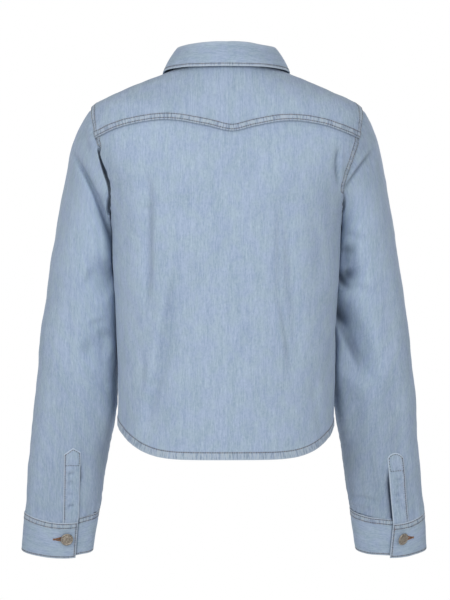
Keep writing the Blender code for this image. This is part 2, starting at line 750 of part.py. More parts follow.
def cuff_out(side, turn, down):
    """How far the cuff stands off the sleeve form: proud, but tucked in beneath its button end."""
    opening = OPENINGS[side]
    before_end = turn - (mix(opening.cuff_seam, opening.cuff_end, down) - 360)
    tuck = ease((CUFF_TUCK_FROM - before_end) / CUFF_TUCK_TURN)
    return PROUD - (DOUBLED + 2 * SEAM_GAP) * tuck


def make_cuff(side):
    grid = []
    for j in range(CUFF_ROWS + 1):
        down = j / CUFF_ROWS
        row = []
        for i in range(CUFF_COLUMNS + 1):
            turn = cuff_turn(side, i / CUFF_COLUMNS, down)
            out = cuff_out(side, turn, down)
            row.append(sleeve_point(side, turn, mix(CUFF_RUN, SLEEVE_END, down), out))
        grid.append(row)
    cloth(f"{side}_cuff", grid, DOUBLED, DENIM, flip=side == "right")


# ---------------------------------------------------------------- buttons

def button_mesh():
    """A shank button, turned about Z, standing on its shank at the origin."""
    turned = bmesh.new()
    line = [turned.verts.new((ring.radius, 0, ring.height)) for ring in BUTTON_PROFILE]
    edges = [turned.edges.new(pair) for pair in zip(line, line[1:])]
    bmesh.ops.spin(turned, geom=line + edges, cent=(0, 0, 0), axis=(0, 0, 1),
                   angle=2 * math.pi, steps=BUTTON_SIDES, use_merge=True)
    bmesh.ops.remove_doubles(turned, verts=turned.verts, dist=1e-6)
    bmesh.ops.recalc_face_normals(turned, faces=turned.faces)
    mesh = bpy.data.meshes.new("button")
    turned.to_mesh(mesh)
    turned.free()
    mesh.materials.append(METAL)
    return mesh


def place_button(name, mesh, point, outward):
    piece = bpy.data.objects.new(name, mesh)
    bpy.context.scene.collection.objects.link(piece)
    piece.parent = SHIRT
    piece.location = point + outward * SEAM_GAP
    piece.rotation_mode = "QUATERNION"
    piece.rotation_quaternion = outward.to_track_quat("Z", "Y")


def make_buttons():
    mesh = button_mesh()
    for i, height in enumerate(FRONT_BUTTON_Z, start=1):
        level = level_at(math.pi, lambda _, z=height: z)
        point = torso_point(math.pi, level, PROUD)
        place_button(f"front_button_{i}", mesh, point, torso_normal(math.pi, level))
    rise = stand_point(math.pi, 1.0) - stand_point(math.pi, 0.0)
    outward = Vector((0, -rise.z, rise.y)).normalized()
    place_button("collar_button", mesh, stand_point(math.pi, 0.5), outward)
    for side in SIDES:
        run = mix(CUFF_RUN, SLEEVE_END, 0.5)
        edge = cuff_turn(side, 0.0, 0.5)
        turn = edge - turns_across(side, edge, run, BUTTON_INSET)
        point = sleeve_point(side, turn, run, PROUD)
        place_button(f"{side}_cuff_button", mesh, point, sleeve_normal(side, turn, run))


# ---------------------------------------------------------------- the shirt

for old in list(bpy.data.objects):
    bpy.data.objects.remove(old)

DENIM = material("light_denim", (0.36, 0.47, 0.62), 0.9)
METAL = material("aged_metal", (0.36, 0.30, 0.24), 0.4, 0.9)

SHIRT = bpy.data.objects.new("shirt", None)
bpy.context.scene.collection.objects.link(SHIRT)

make_back()
make_yoke()
make_stand()
make_collar()
for wearer_side in SIDES:
    make_front(wearer_side)
    make_front_band(wearer_side)
    facets = make_sleeve(wearer_side)
    make_placket(wearer_side, facets)
    make_cuff(wearer_side)
make_buttons()
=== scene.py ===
# %% [markdown]
# # A cropped denim shirt, filled out as if it were worn
#
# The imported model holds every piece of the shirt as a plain, rigid solid: back, pointed yoke,
# fronts, collar, sleeves and cuffs, and the metal buttons. This lesson dresses it. Each cloth
# piece is laid again on the same form as a thin, finely cut shell, with its creases, felled
# seams and hems, and then it is sewn with rows of real stitches and woven in a denim shader.
# The numbers of the forms are the shirt's own sizes in metres, so each shell lands on its solid.

import math
from collections import namedtuple

import bmesh
import bpy
import numpy as np
from mathutils import Matrix, Vector, kdtree, noise


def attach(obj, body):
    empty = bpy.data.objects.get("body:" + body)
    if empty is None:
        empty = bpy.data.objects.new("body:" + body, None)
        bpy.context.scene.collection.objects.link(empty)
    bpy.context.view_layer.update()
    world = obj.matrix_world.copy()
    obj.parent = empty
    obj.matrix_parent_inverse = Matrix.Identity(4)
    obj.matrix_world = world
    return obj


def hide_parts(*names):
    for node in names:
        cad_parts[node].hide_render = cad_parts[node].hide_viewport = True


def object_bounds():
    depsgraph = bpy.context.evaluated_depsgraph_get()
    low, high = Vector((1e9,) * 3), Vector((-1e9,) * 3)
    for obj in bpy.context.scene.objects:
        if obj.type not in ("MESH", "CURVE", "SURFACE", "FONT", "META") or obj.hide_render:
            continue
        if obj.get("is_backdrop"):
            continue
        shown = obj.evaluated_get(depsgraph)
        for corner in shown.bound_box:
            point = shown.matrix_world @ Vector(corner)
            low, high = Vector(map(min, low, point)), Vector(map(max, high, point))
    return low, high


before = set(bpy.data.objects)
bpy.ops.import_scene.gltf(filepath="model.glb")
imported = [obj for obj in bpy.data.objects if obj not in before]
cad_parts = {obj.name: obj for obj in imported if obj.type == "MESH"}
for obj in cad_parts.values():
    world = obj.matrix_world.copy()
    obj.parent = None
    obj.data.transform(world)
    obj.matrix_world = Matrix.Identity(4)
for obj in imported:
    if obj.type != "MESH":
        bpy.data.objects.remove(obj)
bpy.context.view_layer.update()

# %% [markdown]
# A garment is shot with a long lens from a few metres away, level with its middle, so that it
# isn't distorted. The camera here stands behind the shirt and a touch to its left, which shows
# a little more of one side than of the other.

# %% Camera
AIM = Vector((0.0017, 0.0, -0.2987))
CAMERA_DISTANCE, CAMERA_SWING = 2.5, math.radians(1.5)


def placed(name, data):
    """A new object, in the scene."""
    made = bpy.data.objects.new(name, data)
    bpy.context.scene.collection.objects.link(made)
    return made


def set_facing(thing, place, target):
    """Puts a camera or a lamp at a place, turned towards a target."""
    thing.location = place
    thing.rotation_euler = (target - Vector(place)).to_track_quat("-Z", "Y").to_euler()


lens = bpy.data.cameras.new("camera")
lens.lens, lens.sensor_width = 112.5, 36.0
camera = placed("camera", lens)
swing = Vector((math.sin(CAMERA_SWING), math.cos(CAMERA_SWING), 0.0))
set_facing(camera, AIM + swing * CAMERA_DISTANCE, AIM)
bpy.context.scene.camera = camera
print("camera at", [round(value, 3) for value in camera.location])

# %% [markdown]
# Soft light from behind the camera suits pale cloth: a broad panel to one side gives the folds
# their shade and a weaker one opposite keeps the shadows open. The sky stays dim, so that deep
# folds go dark, but the camera sees it white. A second pair of panels lights the front. The
# floor lies where a wearer's feet would stand, well below.

# %% Studio
FLOOR_Z, FLOOR_RADIUS = -1.45, 1.6
LIT = Vector((0.0, 0.0, -0.2))       # the lamps face the middle of the back
LAMPS = (("key", 0.8, 1.5, 0.12, 12.8), ("fill", -0.75, 1.65, 0.08, 9.2))
LAMP_SIZE, SKY_LIGHT, SKY_SEEN = 0.9, 0.44, 1.0

for prefix, way in (("", 1), ("front_", -1)):
    for name, x, y, z, power in LAMPS:
        lamp = bpy.data.lights.new(prefix + name, "AREA")
        lamp.energy, lamp.size = power, LAMP_SIZE
        set_facing(placed(prefix + name, lamp), (x * way, y * way, z), LIT)

sky = bpy.data.worlds.new("sky")
sky.use_nodes = True
sky_nodes, sky_links = sky.node_tree.nodes, sky.node_tree.links
background = sky_nodes["Background"]
background.inputs["Color"].default_value = (1.0, 1.0, 1.0, 1.0)
sees = sky_nodes.new("ShaderNodeLightPath")
strength = sky_nodes.new("ShaderNodeMix")
strength.inputs["A"].default_value, strength.inputs["B"].default_value = SKY_LIGHT, SKY_SEEN
sky_links.new(sees.outputs["Is Camera Ray"], strength.inputs["Factor"])
sky_links.new(strength.outputs["Result"], background.inputs["Strength"])
bpy.context.scene.world = sky
bpy.context.scene.view_settings.view_transform = "Standard"

floor_mesh = bpy.data.meshes.new("floor")
disc = bmesh.new()
bmesh.ops.create_circle(disc, cap_ends=True, segments=96, radius=FLOOR_RADIUS)
bmesh.ops.translate(disc, vec=(0, 0, FLOOR_Z), verts=disc.verts)
disc.to_mesh(floor_mesh)
disc.free()
placed("floor", floor_mesh)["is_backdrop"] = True

# %% [markdown]
# Shader sums are easier to read as Python than as a web of nodes. `Shade` wraps one output
# socket, so `a * 0.5 + b` adds its own Math nodes. Anything that isn't plain arithmetic goes
# through `node`, which takes the node's type, its settings and what its sockets get.

# %% Shader arithmetic
class Shade:
    def __init__(self, tree, socket=None):
        self.tree, self.socket = tree, socket

    def node(self, kind, settings, sockets, output=0):
        made = self.tree.nodes.new(kind)
        for name, value in settings.items():
            setattr(made, name, value)
        for name, value in sockets.items():
            if isinstance(value, Shade):
                self.tree.links.new(value.socket, made.inputs[name])
            else:
                made.inputs[name].default_value = value
        return Shade(self.tree, made.outputs[output])

    def math(self, operation, *values):
        return self.node("ShaderNodeMath", {"operation": operation}, dict(enumerate(values)))

    def __add__(self, other): return self.math("ADD", self, other)
    def __radd__(self, other): return self.math("ADD", other, self)
    def __sub__(self, other): return self.math("SUBTRACT", self, other)
    def __rsub__(self, other): return self.math("SUBTRACT", other, self)
    def __mul__(self, other): return self.math("MULTIPLY", self, other)

    def between(self, low, high):
        """0 at low, 1 at high, smooth and held outside them."""
        return self.node("ShaderNodeMapRange", {"interpolation_type": "SMOOTHSTEP"},
                         {"Value": self, "From Min": low, "From Max": high})

    def noise(self, scale, detail=2.0, rough=0.5, **settings):
        """Noise over this vector, from 0 to 1."""
        return self.node("ShaderNodeTexNoise", settings, {
            "Vector": self, "Scale": scale, "Detail": detail, "Roughness": rough})

    def tint(self, low, high):
        """A colour between two, plain ones or shades, by this value."""
        low, high = (colour if isinstance(colour, Shade) else (*colour, 1.0)
                     for colour in (low, high))
        return self.node("ShaderNodeMix", {"data_type": "RGBA"},
                         {"Factor": self, 6: low, 7: high}, output=2)

    def feed(self, surface, socket):
        """Links this shade to one of a surface's sockets."""
        self.tree.links.new(self.socket, surface.inputs[socket])

    def roughen(self, surface, distance, strength=0.5):
        """Bumps a surface, with this shade as the height."""
        self.node("ShaderNodeBump", {}, {"Height": self, "Strength": strength,
                                         "Distance": distance}).feed(surface, "Normal")


def new_material(name, roughness, **constants):
    """A Principled material with its constants set on their own sockets."""
    made = bpy.data.materials.new(name)
    made.use_nodes = True
    surface = made.node_tree.nodes["Principled BSDF"]
    surface.inputs["Roughness"].default_value = roughness
    for socket, value in constants.items():
        surface.inputs[socket.replace("_", " ")].default_value = value
    return made, Shade(made.node_tree), surface

# %% [markdown]
# ## Denim
#
# Denim is a twill: blue warp threads float over white weft, so fine diagonal lines climb the
# cloth, and threads that are a little thicker or paler leave short upright streaks. Washing
# fades it unevenly, and most at seams, which the maker's machine ropes: they pucker across, and
# the ridges rub pale. The pattern reads the piece's UV map, which is the flat cloth in metres
# with the warp upright, and attributes that the cloth carries: `seam` is 1 on a felled seam or
# hem, `along` and `away` are the lengths along it and from it, and `worn` is 1 along folded
# edges. Two marks paint shade in a deep blue: one in the rows of needle holes and along seam
# edges, the shade of those grooves, and one deep in folds, hollows and the gaps between parts,
# where shadows fall.

# %% Denim shader
WARP_PITCH, WEFT_PITCH = 0.00062, 0.00078      # one twill repeat across and up
PALE, DEEP = (0.48, 0.575, 0.705), (0.222, 0.305, 0.435)
WARM, COOL = (0.985, 0.985, 1.02), (1.0, 1.02, 0.98)
SEAM_PALE, WORN_PALE = (0.46, 0.52, 0.57), (0.62, 0.71, 0.8)
# the first colour darkens seam roping and paints the shade of grooves; the second paints the shade
# deep in folds and gaps
ROPE_AND_GROOVE_SHADE, PAINTED_SHADE_DEEP = (0.11, 0.14, 0.21), (0.012, 0.025, 0.06)


def denim(name, warp_across=False):
    """A washed denim. warp_across turns the cloth a quarter, as collars and cuffs are cut."""
    made, start, surface = new_material(name, 0.92, Specular_IOR_Level=0.15, Sheen_Weight=0.1,
                                        Sheen_Roughness=0.6)
    uv = start.node("ShaderNodeUVMap", {"uv_map": "UVMap"}, {})

    def laid(across, up):
        scale = (up, across, 1.0) if warp_across else (across, up, 1.0)
        return start.node("ShaderNodeMapping", {}, {"Vector": uv, "Scale": scale})

    def wool(across, up, detail=2.0, rough=0.5):
        """Noise whose blotches are 1/across metres wide and 1/up long, about zero."""
        return laid(across, up).noise(1.0, detail, rough, noise_dimensions="2D") - 0.5

    def carried(mark):
        return start.node("ShaderNodeAttribute", {"attribute_name": mark}, {}, output=2)

    cell = laid(1 / WARP_PITCH, 1 / WEFT_PITCH)
    parts = [start.node("ShaderNodeSeparateXYZ", {}, {"Vector": cell}, output=k) for k in (0, 1)]
    twill = start.math("SINE", (parts[0] + parts[1] + wool(260, 90)) * (2 * math.pi)) * 0.5

    slubs = wool(700, 75, 3.0, 0.6)
    streaks = wool(190, 14, 3.0, 0.6)
    flecks = wool(420, 260, 3.0, 0.7)
    clouds = wool(34, 22, 3.0)
    seam, worn, groove_shade, painted_shade = [carried(mark) for mark in ("seam", "worn", "groove_shade", "painted_shade")]
    lie = start.node("ShaderNodeCombineXYZ", {}, {"X": carried("along") * 500,
                                                  "Y": carried("away") * 70})
    rope = lie.noise(1.0, 2.0, 0.6, noise_dimensions="2D")

    depth = 0.44 + twill * 0.26 + slubs * 0.66 + streaks * 0.33 + flecks * 0.54 + clouds * 0.22
    body = depth.between(-0.15, 1.05).tint(PALE, DEEP)
    hue = (wool(60, 45, 2.0) + 0.5).between(0.3, 0.7).tint(WARM, COOL)
    colour = start.node("ShaderNodeMix", {"data_type": "RGBA", "blend_type": "MULTIPLY"},
                        {"Factor": 1.0, 6: body, 7: hue}, output=2)
    # seams fade and rope and edges wear pale; the groove and fold marks paint shade in
    for share, paint in ((seam * (0.6 - rope.between(0.38, 0.58) * 0.5), SEAM_PALE),
                         (seam * rope.between(0.48, 0.66) * 0.42, ROPE_AND_GROOVE_SHADE),
                         (groove_shade * 0.6, ROPE_AND_GROOVE_SHADE),
                         (worn * 0.6, WORN_PALE),
                         (painted_shade * 0.85, PAINTED_SHADE_DEEP)):
        colour = share.tint(colour, paint)
    colour.feed(surface, "Base Color")
    (twill * 0.5 + slubs * 0.9 + flecks * 0.9 - rope * seam * 1.6).roughen(surface, 0.00035)
    return made


DENIM_UPRIGHT = denim("washed_denim")
DENIM_ACROSS = denim("washed_denim_cut_across", warp_across=True)
print("denim twill pitch in mm:", WARP_PITCH * 1000, "by", WEFT_PITCH * 1000)

# %% [markdown]
# The topstitching is a thick tobacco-brown thread, and the buttonholes are worked in a rustier
# one. The plies are too fine to model on thousands of stitches, so a small bump twists them.
# The buttons are a dull, aged brass, mottled from brown to a brighter brass by a noise on
# object coordinates.

# %% Thread and metal
def lying(start):
    """The point on the object, as a vector for noises."""
    return start.node("ShaderNodeTexCoord", {}, {}, output=3)


def thread_material(name, dark, light):
    made, start, surface = new_material(name, 0.65)
    place = lying(start)
    place.noise(420.0).between(0.42, 0.72).tint(dark, light).feed(surface, "Base Color")
    place.noise(5000.0).roughen(surface, 0.0001)
    return made


def metal_material(dark, light):
    made, start, surface = new_material("aged_brass", 0.42, Metallic=0.8)
    place = lying(start)
    tone = place.noise(700.0, 4.0).between(0.35, 0.68)
    tone.tint(dark, light).feed(surface, "Base Color")
    (0.4 + tone * 0.16).feed(surface, "Roughness")
    place.noise(2600.0).roughen(surface, 0.0001, 0.3)
    return made


THREAD = thread_material("tobacco_thread", (0.05, 0.038, 0.04), (0.215, 0.12, 0.078))
RUST_THREAD = thread_material("rust_thread", (0.23, 0.11, 0.055), (0.56, 0.285, 0.15))
METAL = metal_material((0.22, 0.19, 0.155), (0.5, 0.45, 0.385))
plaster, _, _ = new_material("pale_floor", 0.9, Base_Color=(0.82, 0.82, 0.82, 1.0))
floor_mesh.materials.append(plaster)
print("materials:", [made.name for made in bpy.data.materials if made.node_tree])

# %% [markdown]
# ## The forms
#
# The shirt has no body in it, so its shape comes from its cut: a stack of oval rings for the
# trunk and a stack of ovals for each sleeve. The tables below are the same ones that the solids
# are made from, with their lengths in millimetres and their turns in degrees. Here they are read
# with NumPy, which works on a whole grid of points at once.

# %% Curves through tables
NOT_LENGTHS = {"side", "squareness", "turn", "tip", "share", "ridge", "lean"}
TINY = 1e-12      # keeps a vector without a length from dividing by zero


def table(fields, rows):
    """Rows with named fields, their lengths turned into metres."""
    row_of = namedtuple("Row", fields)
    scales = [1 if field in NOT_LENGTHS else 1000 for field in row_of._fields]
    return tuple(row_of(*(round(value / scale, 7) for value, scale in zip(row, scales)))
                 for row in rows)


def mix(a, b, share):
    return a + (b - a) * share


def ease(share):
    share = np.clip(share, 0.0, 1.0)
    return share * share * (3 - 2 * share)


def fades(away, start, run):
    """1 as far as start, then falling to 0 over a run."""
    return 1 - ease((away - start) / run)


def bell(value, width):
    """1 at zero and about a third at the width on either side."""
    return np.exp(-((value / width) ** 2))


def unit(vectors):
    return vectors / np.linalg.norm(vectors, axis=-1, keepdims=True)


def read_at(marks, known, points):
    """The points, or normals, of a line at these marks, from those at the known ones."""
    return np.stack([np.interp(marks, known, points[:, k]) for k in range(3)], axis=-1)


def curve_through(keys, values):
    """A smooth function through these pairs, keys rising, straight on past its ends."""
    keys, values = np.array(keys, float), np.array(values, float)
    rises = np.diff(values) / np.diff(keys)
    slopes = np.concatenate((rises[:1], (rises[:-1] + rises[1:]) / 2, rises[-1:]))

    def value_at(key):
        i = np.clip(np.searchsorted(keys, key, side="right") - 1, 0, len(keys) - 2)
        span = keys[i + 1] - keys[i]
        t = np.clip((key - keys[i]) / span, 0.0, 1.0)
        start, end = slopes[i] * span, slopes[i + 1] * span
        rise = values[i + 1] - values[i]
        square, cube = 3 * rise - 2 * start - end, start + end - 2 * rise
        before = np.minimum(key - keys[0], 0.0) * slopes[0]
        after = np.maximum(key - keys[-1], 0.0) * slopes[-1]
        return values[i] + start * t + square * t**2 + cube * t**3 + before + after

    return value_at


def columns_of(rows, key):
    """A smooth curve for each column of a table against its key column."""
    rows = sorted(rows, key=lambda row: getattr(row, key))
    keys = [getattr(row, key) for row in rows]
    return {name: curve_through(keys, [getattr(row, name) for row in rows])
            for name in rows[0]._fields if name != key}


CLOTH, DOUBLED, SEAM_GAP, PROUD = 0.0012, 0.002, 0.0003, 0.0008
SIDES = {"left": 1, "right": -1}
STEP, WIDE_STEP = 1e-4, 1e-3      # small steps, in radians or metres, by which slopes are found
HALVINGS = 40                     # enough to settle a level or a turn

# %% [markdown]
# A fold is a soft valley from one point to another, bowed sideways, and drawn in towards the
# inside of the cloth. The largest ones are in the solids too. The finer creases come later.

# %% The trunk's form
TORSO = table("level side_z half_width back_depth front_z front_depth squareness", (
    (12, 6, 72, 60, -62, 60, 2),   # neck seam
    (-10, -6.5, 104, 72, -79, 74.5, 2.1),
    (-35, -21, 138, 83, -97, 87, 2.25),
    (-62, -42.5, 178.5, 91, -115, 97.5, 2.6),  # shoulder points
    (-92, -76, 181.5, 97.5, -134, 106, 3.3),
    (-122, -115, 173, 102, -154, 113, 3.2),
    (-155, -153, 159, 105, -176, 119, 2.8),
    (-190, -190, 153.5, 106, -200, 122.5, 2.5),  # underarm
    (-250, -250, 151.2, 104, -250, 123, 2.4),
    (-340, -340, 145.8, 101, -340, 116, 2.35),
    (-430, -430, 143.8, 102, -430, 112, 2.35),
    (-530, -530, 144, 105, -530, 111, 2.35),  # below the hem
))
RINGS = columns_of(TORSO, "level")
NECK_LEVEL = TORSO[0].level
HEM_Z, HEM_RISE, HEM_CURVE = -0.5035, 0.041, 8

LINE = "side x0 z0 x1 z1 bow half_width depth"
TORSO_FOLDS = table(LINE, (
    (1, 52, -215, 108, -480, 4, 16, 5),
    (1, 104, -110, 102, -305, -3, 14, 3.5),
    (1, -68, -170, -84, -395, 7, 10, 3),
    (-1, 70, -200, 98, -440, 6, 15, 4.5),
    (-1, -74, -185, -104, -460, -4, 14, 4.5),
))
FOLD_OVERRUN, FOLD_FADE, FOLD_FACING, HEAD_FADE = 0.15, 0.35, 0.5, 0.04


def beside(line, side, x, z, overrun, run):
    """How far points are to the side of a fold or crease, and how much of it is there: it is
    only on its own side, and fades out past its ends. side is 1 on the back, -1 in front."""
    run_x, run_z = line.x1 - line.x0, line.z1 - line.z0
    length = math.hypot(run_x, run_z)
    share = ((x - line.x0) * run_x + (z - line.z0) * run_z) / length**2
    across = ((x - line.x0) * run_z - (z - line.z0) * run_x) / length
    across = across - line.bow * np.sin(math.pi * np.clip(share, 0, 1))
    fade = ease((share + overrun) / run) * ease((1 + overrun - share) / run)
    return across, fade * (side == line.side)


def fold_depth(folds, side, x, z):
    """How far the folds draw the cloth in."""
    depth = np.zeros(np.broadcast(side, x, z).shape)
    for fold in folds:
        across, fade = beside(fold, side, x, z, FOLD_OVERRUN, FOLD_FADE)
        depth = depth + fold.depth * fade * bell(across, fold.half_width)
    return depth


def ring_z(level, turn):
    end_z = np.where(np.cos(turn) > 0, level, RINGS["front_z"](level))
    return mix(RINGS["side_z"](level), end_z, np.cos(turn) ** 2)


def depth_at(level, behind):
    """A ring's depth, from the middle to its back or to its front."""
    return np.where(behind, RINGS["back_depth"](level), RINGS["front_depth"](level))


def other_way(value, reach, other_reach, n):
    """How far a squared oval is from one of its axes, at this distance from the other."""
    return other_reach * np.maximum(0, 1 - (abs(value) / reach) ** n) ** (1 / n)


def torso_point(turn, level):
    """Points on the trunk. turn is in radians from the centre back, towards the left."""
    turn, level = np.broadcast_arrays(np.asarray(turn, float), np.asarray(level, float))
    depth = depth_at(level, np.cos(turn) > 0)
    n, width = RINGS["squareness"](level), RINGS["half_width"](level)
    radius = (abs(np.sin(turn) / width) ** n + abs(np.cos(turn) / depth) ** n) ** (-1 / n)
    x, y, z = radius * np.sin(turn), radius * np.cos(turn), ring_z(level, turn)
    side = np.where(y > 0, 1, -1)
    facing = ease((abs(y) / depth - FOLD_FACING / 2) / FOLD_FACING) * (level < NECK_LEVEL)
    return np.stack((x, y - side * facing * fold_depth(TORSO_FOLDS, side, x, z), z), axis=-1)


def torso_normal(turn, level):
    around = torso_point(turn + WIDE_STEP, level) - torso_point(turn - WIDE_STEP, level)
    up = torso_point(turn, level + STEP) - torso_point(turn, level - STEP)
    return unit(np.cross(up, around))


def turn_at(x, level):
    """The turn at which a ring's front passes a distance x from the centre line."""
    y = other_way(x, RINGS["half_width"](level), RINGS["front_depth"](level),
                  RINGS["squareness"](level))
    return np.arctan2(x, -y)


def level_at(turn, height_of):
    """The level at which the form, at a turn, reaches the height that height_of(x) gives."""
    low, high = np.full(np.shape(turn), TORSO[-1].level), np.full(np.shape(turn), NECK_LEVEL)
    for _ in range(HALVINGS):
        level = (low + high) / 2
        point = torso_point(turn, level)
        below = point[..., 2] < height_of(point[..., 0])
        low, high = np.where(below, level, low), np.where(below, high, level)
    return level


def hem_level(turn):
    return HEM_Z + HEM_RISE * abs(np.sin(turn)) ** HEM_CURVE


def side_place(y, z):
    """(turn, level) where the left side of the trunk passes a given Y and height."""
    level, turn = np.array(z, float), None
    for _ in range(HALVINGS):
        x = other_way(y, depth_at(level, np.asarray(y) > 0), RINGS["half_width"](level),
                      RINGS["squareness"](level))
        turn = np.arctan2(x, y)
        level = level + z - ring_z(level, turn)
    return turn, level


print("chest ring in mm:", np.round(torso_point(np.array([0, 1.57]), -0.19) * 1000, 1).tolist())

# %% [markdown]
# The seams are what the panels share: the armhole, a ring seen from the side, the pointed yoke
# seam across the shoulder blades, and the front shoulder seam, which lies a little forward.

# %% The seams
ARMHOLE = table("turn y z", (
    (0, 0, -42.5), (30, 30, -50), (60, 47, -72), (90, 57, -105), (120, 53, -143), (150, 29, -175),
    (180, -12, -190), (210, -44, -176), (240, -57, -143), (270, -58, -106), (300, -48, -75),
    (330, -30, -52),
))
YOKE_BACK_TURN, YOKE_FRONT_TURN, NECK_SEAM_Y = 76, -36, -0.022
YOKE_SEAM = table("x z", (
    (-156, -83), (-120, -72.5), (-76, -68), (-36, -74.5), (-5, -81.8), (28, -74.8), (78, -67.3),
    (120, -71.5), (156, -81.5),
))


def wrapped(rows, field):
    """A seam table's column over more than one whole turn, so that it closes smoothly."""
    keys = [row.turn + 360 * lap for lap in (-1, 0, 1) for row in rows]
    return curve_through(keys, [getattr(row, field) for _ in range(3) for row in rows])


ARMHOLE_Y, ARMHOLE_Z = wrapped(ARMHOLE, "y"), wrapped(ARMHOLE, "z")


def armhole_place(seam_turn):
    """(turn, level) on the trunk of points of the left armhole seam."""
    return side_place(ARMHOLE_Y(seam_turn), ARMHOLE_Z(seam_turn))


def yoke_height():
    end_x, _, end_z = torso_point(*armhole_place(YOKE_BACK_TURN))
    xs, zs = zip(*YOKE_SEAM)
    return curve_through((-end_x, *xs, end_x), (end_z, *zs, end_z))


YOKE_HEIGHT = yoke_height()


def yoke_level(turn):
    return level_at(turn, YOKE_HEIGHT)


def shoulder_seam(share):
    """(turn, level) on the left front shoulder seam, from the armhole to the neck seam."""
    arm_turn, arm_level = armhole_place(YOKE_FRONT_TURN)
    neck = TORSO[0]
    neck_x = other_way(NECK_SEAM_Y, neck.front_depth, neck.half_width, neck.squareness)
    return mix(arm_turn, math.atan2(neck_x, NECK_SEAM_Y), share), mix(arm_level, NECK_LEVEL, share)


print("yoke seam ends at z in mm:", round(float(YOKE_HEIGHT(0.16)) * 1000, 1))

# %% [markdown]
# A sleeve's head starts on the armhole seam and turns into the sleeve's own oval further down.
# Where the sleeve would press into the trunk it slides along it instead.

# %% The sleeves' form
SLEEVE = table("run outer_x outer_z inner_x inner_z middle_y half_depth tip", (
    (0, 178.5, -42.5, 153.5, -190, -4, 57, 0),
    (30, 189.3, -56, 152.5, -198.5, -14, 60, 0),
    (65, 204.7, -88, 149.5, -211, -26, 64, 0),
    (110, 213.4, -121, 147.5, -227, -34, 66, 0),
    (165, 221.7, -163.7, 146.5, -252, -39, 66, 0),
    (245, 234.2, -236, 145.5, -300, -41, 62, 0.02),
    (335, 247.4, -327, 145, -362, -45, 56, 0.06),
    (430, 257.5, -419, 147.8, -436, -50, 48, 0.12),
    (520, 265.2, -505, 159.2, -505, -60, 40, 0.22),
    (610, 273.8, -591, 172.2, -583.5, -73, 31, 0.32),  # cuff seam
    (663, 278, -643, 181.5, -642, -83, 27, 0.24),  # cuff's lower edge
))
OVALS = columns_of(SLEEVE, "run")
CAP_RUN, CUFF_RUN, SLEEVE_END = SLEEVE[2].run, SLEEVE[-2].run, SLEEVE[-1].run
BODY_CLEARANCE, CLEARANCE_RUN = 0.001, 0.012
SLEEVE_FOLDS = {
    "left": table(LINE, (
        (1, 206, -99, 150, -230, 8.5, 5.6, 9),
        (1, 186, -268, 152, -284, 3, 15, 6),
        (1, 190, -362, 148, -384, 5, 15, 6.5),
        (-1, 206, -120, 160, -215, 5, 13, 9),
        (-1, 240, -372, 190, -352, 5, 15, 7),
    )),
    "right": table(LINE, (
        (1, -150, -224, -168, -276, 2, 13, 8.5),
        (1, -146, -300, -194, -404, 4, 14, 13.5),
        (1, -172, -424, -176, -490, 0, 13, 5),
        (-1, -204, -118, -160, -205, 5, 13, 9),
        (-1, -238, -366, -188, -344, 5, 15, 7),
    )),
}


def oval_point(turn, run):
    """Points on a plain left sleeve oval. turn: 0 outer edge, 90 back, 180 against the trunk."""
    oval = {name: column(run) for name, column in OVALS.items()}
    across, back = np.cos(np.radians(turn)), np.sin(np.radians(turn))
    x = (oval["outer_x"] + oval["inner_x"]) / 2 + (oval["outer_x"] - oval["inner_x"]) / 2 * across
    z = (oval["outer_z"] + oval["inner_z"]) / 2 + (oval["outer_z"] - oval["inner_z"]) / 2 * across
    y = back * oval["half_depth"]
    return np.stack(np.broadcast_arrays(x, oval["middle_y"] + y, z - y * oval["tip"]), axis=-1)


def sleeve_point(side, turn, run):
    """Points on a sleeve, with its head fitted to the armhole and its folds drawn in."""
    turn, run = np.broadcast_arrays(np.asarray(turn, float), np.asarray(run, float))
    seam = torso_point(*armhole_place(turn)) - oval_point(turn, 0.0)
    head = (1 - ease(run / CAP_RUN))[..., None]
    x, y, z = np.moveaxis(oval_point(turn, run) + seam * head, -1, 0)
    back = np.sin(np.radians(turn))
    facing = np.where(back > 0, 1, -1)
    fold = fold_depth(SLEEVE_FOLDS[side], facing, x * SIDES[side], z)
    y = y - facing * ease(abs(back) / FOLD_FACING) * ease(run / HEAD_FADE) * fold
    fade = np.minimum(1.0, run / CLEARANCE_RUN)
    trunk = torso_point(*side_place(y, z))[..., 0] + BODY_CLEARANCE * fade
    pressed = trunk + (x - trunk + np.hypot(x - trunk, BODY_CLEARANCE * fade)) / 2
    x = np.where((turn % 360 > 90) & (run > 0), pressed, x) * SIDES[side]
    return np.stack((x, y, z), axis=-1)


def sleeve_normal(side, turn, run):
    around = sleeve_point(side, turn + 1, run) - sleeve_point(side, turn - 1, run)
    down = sleeve_point(side, turn, run + STEP) - sleeve_point(side, turn, run - STEP)
    return unit(np.cross(around, down)) * -SIDES[side]


print("cuff seam, back, in mm:", np.round(sleeve_point("left", 90, CUFF_RUN) * 1000, 1).tolist())

# %% [markdown]
# ## Laying cloth
#
# Each piece of cloth is a grid on its form. The rows and columns stand close together along
# the edges, where seams and hems need fine relief, and further apart between them. `Cloth`
# keeps the grid's points with their outward normals, pushes points along those normals, and
# finds how far each point is from a seam, which is a line of points in space.

# %% Grids of points
FINE_EDGE, FINE_CELL = 0.012, 0.001      # the strip along an edge, and the cells in it
LINE_STEP = 0.0007                       # between a line's points


def spaced(length, cell, start=True, end=True, also=()):
    """Shares from 0 to 1 along a length, finer at the edges asked for, holding those in also."""
    edge = FINE_EDGE / length
    steps = round(FINE_EDGE / FINE_CELL)
    low, high = (edge if start else 0.0), (1 - edge if end else 1.0)
    shares = list(np.linspace(low, high, max(2, round((high - low) * length / cell) + 1)))
    if start:
        shares = list(np.linspace(0, low, steps + 1))[:-1] + shares
    if end:
        shares += list(np.linspace(high, 1, steps + 1))[1:]
    for place in also:
        nearest = min(range(len(shares)), key=lambda i: abs(shares[i] - place))
        shares[nearest] = place
    return np.array(shares)


